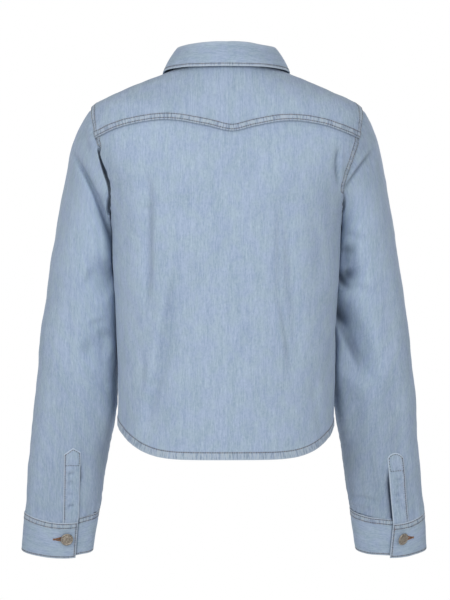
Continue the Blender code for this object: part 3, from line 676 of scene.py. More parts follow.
def lengths_along(points):
    """The length walked from the first point of a line, or of each column of a grid."""
    steps = np.linalg.norm(np.diff(points, axis=0), axis=-1)
    return np.concatenate((np.zeros((1,) + steps.shape[1:]), np.cumsum(steps, axis=0)))


class Line:
    """A seam or an edge: a line of points that knows how far other points are from it."""

    def __init__(self, points):
        walked = lengths_along(points)
        count = max(2, int(walked[-1] / LINE_STEP))
        self.marks = np.linspace(0, walked[-1], count)
        self.points = read_at(self.marks, walked, points)
        self.tree = kdtree.KDTree(count)
        for i, point in enumerate(self.points):
            self.tree.insert(point, i)
        self.tree.balance()

    def nearest(self, points):
        """For each point, the number of the line's nearest point, and its distance."""
        found = [self.tree.find(point)[1:] for point in points.reshape(-1, 3)]
        return [np.array(part).reshape(points.shape[:-1]) for part in zip(*found)]

    def near(self, points):
        """For each point, its distance from the line and how far along the line that is."""
        places, distances = self.nearest(points)
        return distances, self.marks[places]


# the marks a cloth carries; the third paints the shade of grooves, the fourth the shade in folds
# and gaps
MARKS = ("seam", "worn", "groove_shade", "painted_shade", "along", "away")
TUCK_DEPTH, TUCK_RUN = 0.0014, 0.007      # how deep cloth lies under its neighbour, and by when


class LappedLine:
    """The edge of a strip that laps over itself: either half of the strip keeps to its own."""

    def __init__(self, points):
        middle = len(points) // 2
        self.walked = lengths_along(points)[middle]
        self.halves = Line(points[:middle + 1]), Line(points[middle:])

    def near(self, points):
        (away, along), (far_away, far_along) = [half.near(points) for half in self.halves]
        first = np.arange(points.shape[1])[None, :] < points.shape[1] // 2
        return np.where(first, away, far_away), np.where(first, along, far_along + self.walked)


def grid_normals(points):
    """Normals of a grid of points, on one side or the other."""
    return unit(np.cross(np.gradient(points, axis=1), np.gradient(points, axis=0)) + TINY)


class Cloth:
    """A grid of points, rows up the cloth and columns across it, with outward normals."""

    def __init__(self, points, normals, round_tube=False, cut=None):
        self.points, self.normals, self.round_tube, self.cut = points, normals, round_tube, cut
        self.flat = points.copy()
        for name in MARKS:
            setattr(self, name, np.zeros(points.shape[:2]))

    def push(self, height):
        self.points = self.points + self.normals * height[..., None]

    def mark(self, name, amount):
        """Raises one of the marks to this amount, wherever it is lower."""
        setattr(self, name, np.maximum(getattr(self, name), amount))

    def normals_now(self):
        """Normals of the cloth as it is now, facing the same way as before."""
        grid, inner = self.points, slice(None)
        if self.round_tube:
            grid, inner = np.concatenate((grid[:, -2:-1], grid, grid[:, 1:2]), axis=1), slice(1, -1)
        made = grid_normals(grid)[:, inner]
        return made * np.sign(np.sum(made * self.normals, axis=-1, keepdims=True))

    def area(self):
        a, b = np.diff(self.flat, axis=0)[:, :-1], np.diff(self.flat, axis=1)[:-1]
        return float(np.linalg.norm(np.cross(a, b), axis=-1).sum())

    def pattern(self):
        """The flat cut: for each point, how far across and up the cloth it lies."""
        if self.cut is not None:
            return self.cut
        across = lengths_along(np.swapaxes(self.flat, 0, 1)).T
        middle = across.shape[1] // 2
        return np.stack((across - across[:, middle:middle + 1], lengths_along(self.flat)), axis=-1)

    def tuck(self, line, edge, inner, reach):
        """Slides the cloth in under its neighbour along a seam: the points at the index edge
        move on by reach, away from those at the index inner, and the cloth by the seam sinks."""
        self.push(-TUCK_DEPTH * fades(line.near(self.flat)[0], 0, TUCK_RUN))
        outer, inner = self.points[edge], self.points[inner]
        self.points[edge] = outer + unit(outer - inner) * reach


def wool(points, size, seed):
    """A soft noise from -1 to 1 over the points, with features of about this size."""
    spot = Vector((seed * 17.3, seed * 5.1, seed * 9.7))
    values = [noise.noise(Vector(point) / size + spot) for point in points.reshape(-1, 3)]
    return np.array(values).reshape(points.shape[:-1])


print("cells along a 300 mm edge:", len(spaced(0.3, 0.003)) - 1)

# %% [markdown]
# Where two panels meet, the maker fells the seam: both allowances are folded to one side and
# sewn down with two rows, so that side stands up as a flat ridge. The rows draw the cloth in,
# and the ridge puckers between them. `fell` raises that ridge, draws in a groove at each row
# and adds the puckers, which die away a centimetre from the seam. It also paints shade into
# the grooves and along the ridge's edge.

# %% Seams, hems and creases
ROWS, FELL_WIDTH = (0.0027, 0.0087), 0.0098      # a felled seam's rows and its width
NEEDLE, NEEDLE_DEPTH = 0.0007, 0.00028           # the groove that a row of stitches draws in
# LIP_SHADE is the painted shade along a ridge's very edge
RIDGE_FADE, LIP, LIP_SHARE, LIP_SHADE = 0.0018, 0.0009, 0.4, 0.8      # how a ridge ends
PUCKER_LENGTH, PUCKER_WIDTH, PUCKER_FADE, PUCKER_GAIN, PUCKER_LEAN = 0.0052, 0.01, 0.006, 1.9, 40
MARK_INSET, MARK_FADE = 0.0005, 0.0012           # where a seam's faded look ends


def fell(cloth, line, rows=ROWS, width=FELL_WIDTH, height=0.0006, pucker=0.0003, seed=1.0,
         only=None):
    """Works a felled seam or a hem along a line, where only is true; returns the distances."""
    away, along = line.near(cloth.flat)
    if only is not None:
        away = np.where(only, away, 1.0)
    ridge = (height * fades(away, width, RIDGE_FADE)
             * (LIP_SHARE + (1 - LIP_SHARE) * ease(away / LIP)))
    pressed = sum(bell(away - row, NEEDLE) for row in rows)
    waves = np.stack((along / PUCKER_LENGTH + away * PUCKER_LEAN, away / PUCKER_WIDTH,
                      np.full(away.shape, seed)), -1)
    puckers = pucker * PUCKER_GAIN * wool(waves, 1.0, seed) * fades(away, width, PUCKER_FADE)
    cloth.push(ridge - NEEDLE_DEPTH * pressed + puckers)
    mark = 1 - ease((away - width + MARK_INSET) / MARK_FADE)
    nearest = mark > cloth.seam
    cloth.along = np.where(nearest, along + seed, cloth.along)
    cloth.away = np.where(nearest, away, cloth.away)
    cloth.mark("seam", mark)
    # painted shade in the stitch rows' grooves and along the seam's edge
    cloth.mark("groove_shade", np.maximum(np.minimum(pressed, 1.0), LIP_SHADE * bell(away, NEEDLE)))
    return away


def rumple(cloth, seed, broad=0.0011, small=0.00035):
    """The uneven lie of worn cotton, broad and small."""
    height = broad * wool(cloth.flat, 0.055, seed) + small * wool(cloth.flat, 0.016, seed + 3)
    cloth.push(height * 1.6)


CREASE = LINE + " ridge"
CREASE_OVERRUN, CREASE_FADE = 0.1, 0.4      # past its ends, as shares of its length
RIDGE_AT, RIDGE_WIDTH = 1.7, 1.1            # beside the valley, as shares of its half width
# the painted shade in the steepest creases
CREASE_PAINTED_SHADE = 0.45                           # how dark the steepest creases are


def crease(cloth, creases):
    """Presses creases in: each is a narrow valley with a ridge on one side of it. ridge is the
    ridge's height as a share of the depth, on the right of the line if it is negative."""
    x, y, z = np.moveaxis(cloth.flat, -1, 0)
    side = np.where(cloth.normals[..., 1] > 0, 1, -1)
    facing = ease((abs(cloth.normals[..., 1]) - 0.12) / 0.35)
    height = np.zeros(x.shape)
    for line in creases:
        across, fade = beside(line, side, x, z, CREASE_OVERRUN, CREASE_FADE)
        valley = bell(across, line.half_width)
        top = across / line.half_width - math.copysign(RIDGE_AT, line.ridge)
        height += fade * line.depth * (abs(line.ridge) * bell(top, RIDGE_WIDTH) - valley)
        steep = ease((line.depth / line.half_width - 0.4) / 0.8)
        # painted shade deep in steep valleys
        cloth.mark("painted_shade", CREASE_PAINTED_SHADE * steep * fade * facing * valley**2)
    cloth.push(height * facing)


SWELL = "side x z across up height lean"
# the most painted shade a hollow gets, and the depth of hollow that gets it
DARKEST_PAINTED_SHADE, PAINTED_SHADE_DEPTH = 0.85, 0.02      # how dark a hollow gets, and how deep it is then


def swell(cloth, swells):
    """Soft bulges, or hollows if height is negative, that come straight back or forward. A
    swell with a lean moves that far sideways for each metre down."""
    x, _, z = np.moveaxis(cloth.flat, -1, 0)
    for spot in swells:
        across = x - spot.x + spot.lean * (z - spot.z)
        reach = (across / spot.across) ** 2 + ((z - spot.z) / spot.up) ** 2
        facing = ease((cloth.normals[..., 1] * spot.side + 0.45) / 0.6)
        cloth.points[..., 1] += spot.side * spot.height * np.exp(-reach) * facing
        # hollows get painted shade, darker the deeper they are
        if spot.height < 0:
            dark = min(DARKEST_PAINTED_SHADE, -spot.height / PAINTED_SHADE_DEPTH) * np.exp(-1.5 * reach) * facing
            cloth.mark("painted_shade", dark)


ROLL_WALL, ROLL_EDGE = 0.0105, 0.003      # the strip that stands on edge, and its rounding


def roll_under(cloth, line, share, depth):
    """Rolls the strip along a seam inwards, so that it stands on edge as the wall of a fold;
    share is how far each point is rolled. The cloth next to it is drawn out to the seam."""
    places, away = line.nearest(cloth.flat)
    spots = line.points[places]
    across = (cloth.flat - spots) / np.maximum(away, 1e-6)[..., None]
    across = np.where(away[..., None] > 1e-5, across, 0.0)
    relief = np.sum((cloth.points - cloth.flat) * cloth.normals, axis=-1)[..., None]
    sunk = spots - cloth.normals * (depth * (1 - away / ROLL_WALL))[..., None] - across * relief
    drawn = spots + across * ((away - ROLL_WALL) * 2)[..., None] + cloth.normals * relief
    rolled = np.where(away[..., None] < ROLL_WALL, sunk, drawn)
    share = (share * (away < 2 * ROLL_WALL))[..., None]
    cloth.points = mix(cloth.points, rolled, share)
    standing = share * ease((ROLL_WALL - away) / ROLL_EDGE)[..., None]
    cloth.normals = unit(mix(cloth.normals, -across, standing) + 1e-9)

# %% [markdown]
# `hang` turns such a grid into a piece: a grid primitive whose corners are moved onto the
# points, a UV map in metres of flat cloth, Solidify for the wall on the inside, and a small
# Bevel that rounds the cut edges. It rides on the shirt's one body and stands for its solid.

# %% From a grid to a piece of cloth
RIM, RIM_ANGLE = 0.0005, math.radians(55)      # the rounding of cut edges


def as_piece(name, mesh, finish):
    """A piece of this mesh that rides on the shirt's one body."""
    mesh.shade_smooth()
    mesh.materials.append(finish)
    piece = placed(name, mesh)
    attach(piece, "root")
    return piece


def hang(name, cloth, wall, finish, rests_on=()):
    """Makes the piece called name, which stands for the solid called that without its last word."""
    rows, columns = (count - 1 for count in cloth.points.shape[:2])
    sheet = bmesh.new()
    sheet.loops.layers.uv.new("UVMap")
    bmesh.ops.create_grid(sheet, x_segments=columns, y_segments=rows, size=1.0, calc_uvs=True)
    mesh = bpy.data.meshes.new(name)
    sheet.to_mesh(mesh)
    sheet.free()

    corners = np.empty(len(mesh.vertices) * 3)
    mesh.vertices.foreach_get("co", corners)
    i = np.rint((corners[0::3] + 1) / 2 * columns).astype(int)
    j = np.rint((corners[1::3] + 1) / 2 * rows).astype(int)
    mesh.vertices.foreach_set("co", cloth.points[j, i].astype(np.float32).ravel())
    for mark in MARKS:
        made = mesh.attributes.new(mark, "FLOAT", "POINT")
        made.data.foreach_set("value", getattr(cloth, mark)[j, i].astype(np.float32))
    at = np.empty(len(mesh.loops), int)
    mesh.loops.foreach_get("vertex_index", at)
    mesh.uv_layers["UVMap"].data.foreach_set(
        "uv", cloth.pattern()[j[at], i[at]].astype(np.float32).ravel())

    work = bmesh.new()
    work.from_mesh(mesh)
    if cloth.round_tube:
        bmesh.ops.remove_doubles(work, verts=work.verts, dist=1e-6)
    work.faces.ensure_lookup_table()
    work.normal_update()
    face = work.faces[len(work.faces) // 2]
    nearest = np.argmin(np.linalg.norm(cloth.points - np.array(face.calc_center_median()), axis=-1))
    if face.normal.dot(Vector(cloth.normals.reshape(-1, 3)[nearest])) < 0:
        bmesh.ops.reverse_faces(work, faces=work.faces)
    work.to_mesh(mesh)
    work.free()

    piece = as_piece(name, mesh, finish)
    thickness = piece.modifiers.new("wall", "SOLIDIFY")
    thickness.thickness, thickness.offset, thickness.use_even_offset = wall, -1.0, False
    edge = piece.modifiers.new("rim", "BEVEL")
    edge.width, edge.segments, edge.limit_method, edge.angle_limit = RIM, 2, "ANGLE", RIM_ANGLE
    edge.affect, edge.profile, edge.material = "EDGES", 0.5, -1
    edge.use_clamp_overlap = True
    width, length = np.ptp(cloth.pattern().reshape(-1, 2), axis=0)
    area = min(cloth.area(), width * length)
    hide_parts(name.removesuffix("_cloth"))
    print(f"{name}: {rows} x {columns} cells, cut {width * 1000:.0f} x {length * 1000:.0f} mm,"
          f" {area * 1e4:.0f} square cm")

# %% [markdown]
# ## Stitches
#
# A topstitch is a short bridge of thread between two needle holes, about 3 mm apart, with its
# ends pulled into the cloth. One low ball, stretched and bent, serves for all of them: a row
# of stitches is that ball copied along a line on the cloth, and the rows of a piece are one
# mesh.

# %% Sewing
STITCH_PITCH, STITCH_LENGTH, THREAD_WIDTH, STITCH_LIFT = 0.0031, 0.0027, 0.00082, 0.00055
ENDS_SINK, MIDDLE_RISE, END_BLUNTNESS = 0.6, 0.15, 0.8      # a stitch's bend and its ends
sewn = []


def one_stitch():
    """Corners and faces of one stitch along X, one unit long, wide and high."""
    ball = bmesh.new()
    bmesh.ops.create_uvsphere(ball, u_segments=5, v_segments=5, radius=0.5)
    bmesh.ops.rotate(ball, verts=ball.verts, cent=(0, 0, 0),
                     matrix=Matrix.Rotation(math.pi / 2, 3, "Y"))
    for corner in ball.verts:
        corner.co.x = math.copysign(abs(2 * corner.co.x) ** END_BLUNTNESS / 2, corner.co.x)
    ball.verts.ensure_lookup_table()
    corners = np.array([corner.co for corner in ball.verts])
    faces = [[corner.index for corner in face.verts] for face in ball.faces]
    ball.free()
    return corners, faces


STITCH_CORNERS, STITCH_FACES = one_stitch()


def plan(name, cloth, away, rows, part=slice(None), across_rows=True, backwards=False):
    """Notes rows of stitches, at these distances from a seam, for the thread called name."""
    for row in rows:
        sewn.append((name, cloth, away, row, part, across_rows, backwards))


def felled(name, cloth, line, part=slice(None), across_rows=True, backwards=False, rows=ROWS,
           **work):
    """Fells a seam and notes its rows of stitches."""
    plan(name, cloth, fell(cloth, line, rows, **work), rows, part, across_rows, backwards)


def row_on(cloth, away, distance, part, across_rows, backwards):
    """The line on the cloth at a distance from a seam: points and normals, found in each row
    of the grid (or each column) in part, from its first cell on, or from its last."""
    grids = cloth.points, cloth.normals_now(), away
    if not across_rows:
        grids = [np.swapaxes(grid, 0, 1) for grid in grids]
    order = slice(None, None, -1 if backwards else 1)
    found = []
    for spots, outs, gaps in zip(*(grid[part, order] for grid in grids)):
        crossing = np.nonzero((gaps[:-1] <= distance) & (gaps[1:] > distance))[0]
        if len(crossing):
            k = crossing[0]
            share = (distance - gaps[k]) / (gaps[k + 1] - gaps[k])
            found.append((mix(spots[k], spots[k + 1], share), mix(outs[k], outs[k + 1], share)))
    return np.array([spot for spot, _ in found]), unit(np.array([out for _, out in found]))


def stitches(points, normals):
    """Where each stitch of a row lies: its middle, the way it runs and its outward side."""
    walked = lengths_along(points)
    count = max(1, int(walked[-1] / STITCH_PITCH))
    marks = (np.arange(count) + 0.5) * walked[-1] / count
    ends = [read_at(marks + way * STITCH_LENGTH / 2, walked, points) for way in (-1, 1)]
    return (read_at(marks, walked, points), unit(ends[1] - ends[0] + TINY),
            unit(read_at(marks, walked, normals)), np.full(count, STITCH_LENGTH))


def sew(name, rows, width=THREAD_WIDTH, lift=STITCH_LIFT, finish=THREAD):
    """Joins rows of stitches into one piece of thread."""
    middles, runs, outs, lengths = (np.concatenate(part) for part in zip(*rows))
    sides = unit(np.cross(outs, runs))
    x, y, z = STITCH_CORNERS.T
    bent = z * lift - ENDS_SINK * lift * (2 * x) ** 4 + MIDDLE_RISE * lift
    corners = (middles[:, None] + runs[:, None] * (x[None, :, None] * lengths[:, None, None])
               + sides[:, None] * (y * width)[None, :, None] + outs[:, None] * bent[None, :, None])
    faces = [[i * len(x) + corner for corner in face]
             for i in range(len(middles)) for face in STITCH_FACES]
    mesh = bpy.data.meshes.new(name)
    mesh.from_pydata(corners.reshape(-1, 3).tolist(), [], faces)
    as_piece(name, mesh, finish)
    print(f"{name}: {len(middles)} stitches, {len(faces)} faces")

# %% [markdown]
# ## The body
#
# The back runs from the hem up to the yoke seam and the armholes, and each front from the hem
# to the armhole, the shoulder seam and the neck. Along every seam one panel lies over the
# other: the yoke over the back and the fronts, the body over the sleeve heads, and the fronts
# over the back. The panel underneath is tucked in.

# %% Creases of the body
BODY_CREASES = table(CREASE, (
    (1, 40, -128, 53, -234, 2, 8, 1.2, 0.5),
    (1, -64.8, -190, -64.4, -300, 0, 2.8, 2, 0.6),
    (1, -64, -292, -79, -386, 2, 3.4, 2, -0.5),
    (1, -33, -303, -52, -307.5, 2, 2.8, 1, 0.6),
    (1, -62, -410, -90, -422, 1, 3, 1, -0.6),
    (1, -143.6, -96, -143.4, -148, -1.6, 2.8, 3.4, 0.5),
    (1, -151, -96, -153, -116, 0, 2.8, 1, 0.5),
    (1, 110, -128, 101, -172, 1, 5, 1.6, 0.5),
    (1, 101.8, -150, 104.6, -310, 1, 5, 3.4, 0.6),
    (1, 68, -255, 105, -462, 4.5, 6.4, 4.6, -0.6),
    (1, 15, -250, 21, -330, 1, 6, 0.7, 0.4),
    (1, -108, -400, -120, -468, 2, 6, 1.1, 0.5),
    (1, -113, -180, -118, -300, 2, 9, 1, 0.3),
    (1, 118, -330, 109, -450, 2, 7, 1, 0.5),
    (-1, 85, -130, 70, -215, 3, 7, 1.6, 0.5),
    (-1, -82, -125, -70, -230, -2, 7, 1.6, 0.5),
    (-1, 50, -260, 62, -380, 2, 5, 1.1, 0.5),
    (-1, -52, -300, -64, -430, 2, 5, 1.1, -0.5),
    (-1, 105, -300, 116, -430, 1, 6, 1.2, 0.5),
    (-1, -115, -240, -108, -330, 1, 6, 1.2, 0.5),
    (-1, 35, -400, 60, -412, 1, 3.5, 0.9, 0.6),
    (-1, -36, -200, -60, -207, 1, 3.5, 0.9, 0.6),
))
FRONT_OVERLAP, BAND_COVER, FRONT_EASE = 0.015, 0.0015, 0.045


def body_edge(last_turn):
    """(turns, levels) up the left side seam and on round the armhole, and the underarm's
    place in them."""
    seam_turn, seam_level = armhole_place(np.array(180.0))
    levels = np.linspace(hem_level(seam_turn), seam_level, 300)
    arm = armhole_place(np.linspace(180, last_turn, 300)[1:])
    turns = np.concatenate((np.full(300, seam_turn), arm[0]))
    return turns, np.concatenate((levels, arm[1])), 299


def place_of(shares, share):
    """The number of the row or column at a share of the way."""
    return int(np.argmin(abs(shares - share)))


def back_cloth():
    turns, levels, underarm = body_edge(YOKE_BACK_TURN)
    shares = (levels - hem_level(turns)) / (yoke_level(turns) - hem_level(turns))
    rows = spaced(0.42, 0.0023, also=[shares[underarm]])
    columns = spaced(0.3, 0.0024) * 2 - 1
    turn = np.interp(rows, shares, turns)[:, None] * columns[None, :]
    level = mix(hem_level(turn), yoke_level(turn), rows[:, None])
    cloth = Cloth(torso_point(turn, level), torso_normal(turn, level))
    return cloth, place_of(rows, shares[underarm])


def front_drop(x, under):
    """How far the front that lies under is set back at a distance from the centre."""
    return -(DOUBLED + SEAM_GAP) * fades(x, FRONT_OVERLAP, FRONT_EASE - FRONT_OVERLAP) * under


def front_edge():
    """(turns, shares) of a front's outer edge, and the shares of the underarm and of the
    shoulder point."""
    turns, levels, underarm = body_edge(360 + YOKE_FRONT_TURN)
    shoulder = len(turns) - 1
    seam = shoulder_seam(np.linspace(0, 1, 200)[1:])
    turns, levels = np.concatenate((turns, seam[0])), np.concatenate((levels, seam[1]))
    shares = (levels - hem_level(turns)) / (NECK_LEVEL - hem_level(turns))
    return turns, shares, (shares[underarm], shares[shoulder])


def front_cloth(side):
    turns, shares, corners = front_edge()
    rows, columns = spaced(0.5, 0.0032, also=corners), spaced(0.15, 0.003)
    edge_turn = np.interp(rows, shares, turns)[:, None]
    band_turn = turn_at(FRONT_OVERLAP, mix(HEM_Z, NECK_LEVEL, rows))[:, None]
    turn = mix(band_turn, edge_turn, columns[None, :])
    level = mix(hem_level(turn), NECK_LEVEL, rows[:, None])
    drop = front_drop(torso_point(turn, level)[..., 0], side == "left")
    turn = turn * SIDES[side]
    normals = torso_normal(turn, level)
    cloth = Cloth(torso_point(turn, level) + normals * drop[..., None], normals)
    return cloth, *[place_of(rows, corner) for corner in corners]


def yoke_cloth():
    """Rows from the outer edge in to the neck; columns along that edge, right to left."""
    end_turn = float(armhole_place(np.array(float(YOKE_BACK_TURN)))[0])
    arm = armhole_place(np.linspace(YOKE_BACK_TURN, YOKE_FRONT_TURN, 200))
    across = end_turn * np.linspace(-1, 1, 400)[1:-1]
    turns = np.concatenate((-arm[0][::-1], across, arm[0]))
    levels = np.concatenate((arm[1][::-1], yoke_level(across), arm[1]))
    walked = lengths_along(torso_point(turns, levels))
    shares = walked / walked[-1]
    corners = shares[199], shares[-200]
    columns, rows = spaced(walked[-1], 0.0017, also=corners), spaced(0.085, 0.0024, end=False)
    neck_turn = float(shoulder_seam(1.0)[0]) * (2 * columns - 1)
    turn = mix(np.interp(columns, shares, turns)[None, :], neck_turn[None, :], rows[:, None])
    level = mix(np.interp(columns, shares, levels)[None, :], NECK_LEVEL, rows[:, None])
    points = torso_point(turn, level)
    x, y, z = np.moveaxis(points, -1, 0)
    cut = np.stack((x * 1.04, 0.083 * np.arctan2(z + 0.115, y)), axis=-1)
    cloth = Cloth(points, torso_normal(turn, level), cut=cut)
    return cloth, [place_of(columns, corner) for corner in corners]


back, back_underarm = back_cloth()
yoke, (yoke_right, yoke_left) = yoke_cloth()
fronts = {side: front_cloth(side) for side in SIDES}
print("back:", back.points.shape[:2], "yoke:", yoke.points.shape[:2])

# %% Seams of the body
hem_turns = np.linspace(-math.pi, math.pi, 2000)
HEM = Line(torso_point(hem_turns, hem_level(hem_turns)))
YOKE_LINE = Line(yoke.flat[0, yoke_right:yoke_left + 1])
arm_turns = np.linspace(0, 360, 700)
arm_places = armhole_place(arm_turns)
side_turn, side_top = armhole_place(np.array(180.0))
side_levels = np.linspace(hem_level(side_turn), side_top, 300)
shoulder_turns, shoulder_levels = shoulder_seam(np.linspace(0, 1, 200))
ARM_LINES, SHOULDER_LINES, SIDE_LINES, ARM_POINTS = {}, {}, {}, {}
for side, sign in SIDES.items():
    ARM_POINTS[side] = torso_point(arm_places[0] * sign, arm_places[1])
    ARM_LINES[side] = Line(ARM_POINTS[side])
    SHOULDER_LINES[side] = Line(torso_point(shoulder_turns * sign, shoulder_levels))
    SIDE_LINES[side] = Line(torso_point(np.full(300, side_turn * sign), side_levels))

# low on the back of each armhole the panel rolls in, and the sleeve sinks in beside it
RollUnder = namedtuple("RollUnder", "top bottom fade depth")
ROLLS = {"left": RollUnder(-0.096, -0.196, 0.012, 0.013),
         "right": RollUnder(-0.156, -0.198, 0.01, 0.01)}
SIDE_TUCK, YOKE_TUCK = 0.003, 0.005
HEM_WORK = {"rows": (0.0095,), "width": 0.0104, "height": 0.0005, "pucker": 0.0003}

# the right armhole is sewn with its rows further apart
ARM_WORK = {"left": {"rows": ROWS, "width": FELL_WIDTH},
            "right": {"rows": (0.0027, 0.0105), "width": 0.0116}}


def rolled(side, points):
    """How far a point beside the armhole is rolled in, from 0 to 1."""
    roll, z = ROLLS[side], points[..., 2]
    beside_arm = (points[..., 0] * SIDES[side] > 0.09) & (points[..., 1] > -0.01)
    return ease((roll.top - z) / roll.fade) * ease((z - roll.bottom) / roll.fade) * beside_arm


body = (back, yoke, fronts["left"][0], fronts["right"][0])
for cloth in body:
    rumple(cloth, seed=1.0)
    crease(cloth, BODY_CREASES)

# the back: over the sleeve heads, under the yoke and under the fronts
felled("hem", back, HEM, across_rows=False, seed=2, **HEM_WORK)
for side in SIDES:
    felled("armhole_" + side, back, ARM_LINES[side], slice(back_underarm, None),
           backwards=side == "left", seed=3, **ARM_WORK[side])
    low, (edge, inner) = slice(0, back_underarm), (-1, -2) if side == "left" else (0, 1)
    back.tuck(SIDE_LINES[side], (low, edge), (low, inner), SIDE_TUCK)
back.tuck(YOKE_LINE, -1, -2, YOKE_TUCK)
# painted shade along the back beside the yoke's edge, which laps over it
back.mark("groove_shade", 0.7 * fades(YOKE_LINE.near(back.flat)[0], 0, 0.0022))
for side in SIDES:
    share = rolled(side, back.flat)
    roll_under(back, ARM_LINES[side], share, ROLLS[side].depth)
    # painted shade in the crevice where the panel rolls in
    back.mark("painted_shade", share * fades(ARM_LINES[side].near(back.flat)[0], 0.004, 0.006))
    back.seam *= 1 - share

# the yoke: over the back, the fronts and the sleeve heads
felled("yoke", yoke, YOKE_LINE, slice(yoke_right, yoke_left + 1), across_rows=False, seed=4)
for side in SIDES:
    arm = slice(0, yoke_right + 1) if side == "right" else slice(yoke_left, None)
    felled("armhole_" + side, yoke, ARM_LINES[side], arm, across_rows=False, seed=5,
           **ARM_WORK[side])
    felled("shoulder_" + side, yoke, SHOULDER_LINES[side], backwards=side == "left", seed=6)

# the fronts: over the sleeve heads and the back, under the yoke
for side in SIDES:
    front, underarm, shoulder = fronts[side]
    felled("hem", front, HEM, across_rows=False, seed=7, **HEM_WORK)
    felled("side_" + side, front, SIDE_LINES[side], slice(0, underarm + 1), backwards=True, seed=8)
    felled("armhole_" + side, front, ARM_LINES[side], slice(underarm, shoulder + 1),
           backwards=True, seed=9, **ARM_WORK[side])
    top = slice(shoulder, None)
    front.tuck(SHOULDER_LINES[side], (top, -1), (top, -2), SIDE_TUCK)
print("seam rows to sew so far:", len(sewn))

# %% Hang the body
for cloth in body:
    cloth.mark("worn", 0.9 * fades(HEM.near(cloth.flat)[0], 0.0003, 0.0012))
hang("back_cloth", back, CLOTH, DENIM_UPRIGHT, rests_on=["yoke"])
hang("yoke_cloth", yoke, CLOTH, DENIM_UPRIGHT)
for side in SIDES:
    hang(f"{side}_front_cloth", fronts[side][0], CLOTH, DENIM_UPRIGHT,
         rests_on=["yoke"])

# %% [markdown]
# The button bands are strips of doubled cloth down the centre front. The right one lies over
# the left one and carries the buttonholes.

# %% Front bands
def band_cloth(side):
    out = PROUD if side == "right" else PROUD - DOUBLED - SEAM_GAP
    edges = sorted(((FRONT_OVERLAP - SEAM_GAP) * SIDES[side],
                    -(FRONT_OVERLAP + BAND_COVER) * SIDES[side]))
    rows, columns = spaced(0.44, 0.0045), np.linspace(0, 1, 33)
    level = mix(HEM_Z, NECK_LEVEL, rows)[:, None] + np.zeros(33)[None, :]
    turn = turn_at(mix(*edges, columns)[None, :] + 0 * level, level)
    normals = torso_normal(turn, level)
    return Cloth(torso_point(turn, level) + normals * out, normals)


for side in SIDES:
    band, name = band_cloth(side), "band_" + side
    rumple(band, seed=1.0, small=0.0002)
    for seed, edge in ((10, 0), (11, -1)):
        line = Line(band.flat[:, edge])
        felled(name, band, line, backwards=edge == -1, rows=(0.005,), width=0.0062,
               height=0.0003, pucker=0.0002, seed=seed)
        band.mark("worn", fades(line.near(band.flat)[0], 0, 0.0014))
    felled(name, band, Line(band.flat[0]), across_rows=False,
           **{**HEM_WORK, "height": 0.0, "pucker": 0.0001})
    hang(f"{side}_front_band_cloth", band, DOUBLED, DENIM_UPRIGHT,
         rests_on=["left_front_band"] if side == "right" else ["left_front"])

# %% [markdown]
# ## Sleeves
#
# A sleeve is a tube, joined where it faces the trunk. Its head is tucked in under the felled
# armhole seam. The arms hang slightly bent, so the cloth gathers at the inside of each elbow.

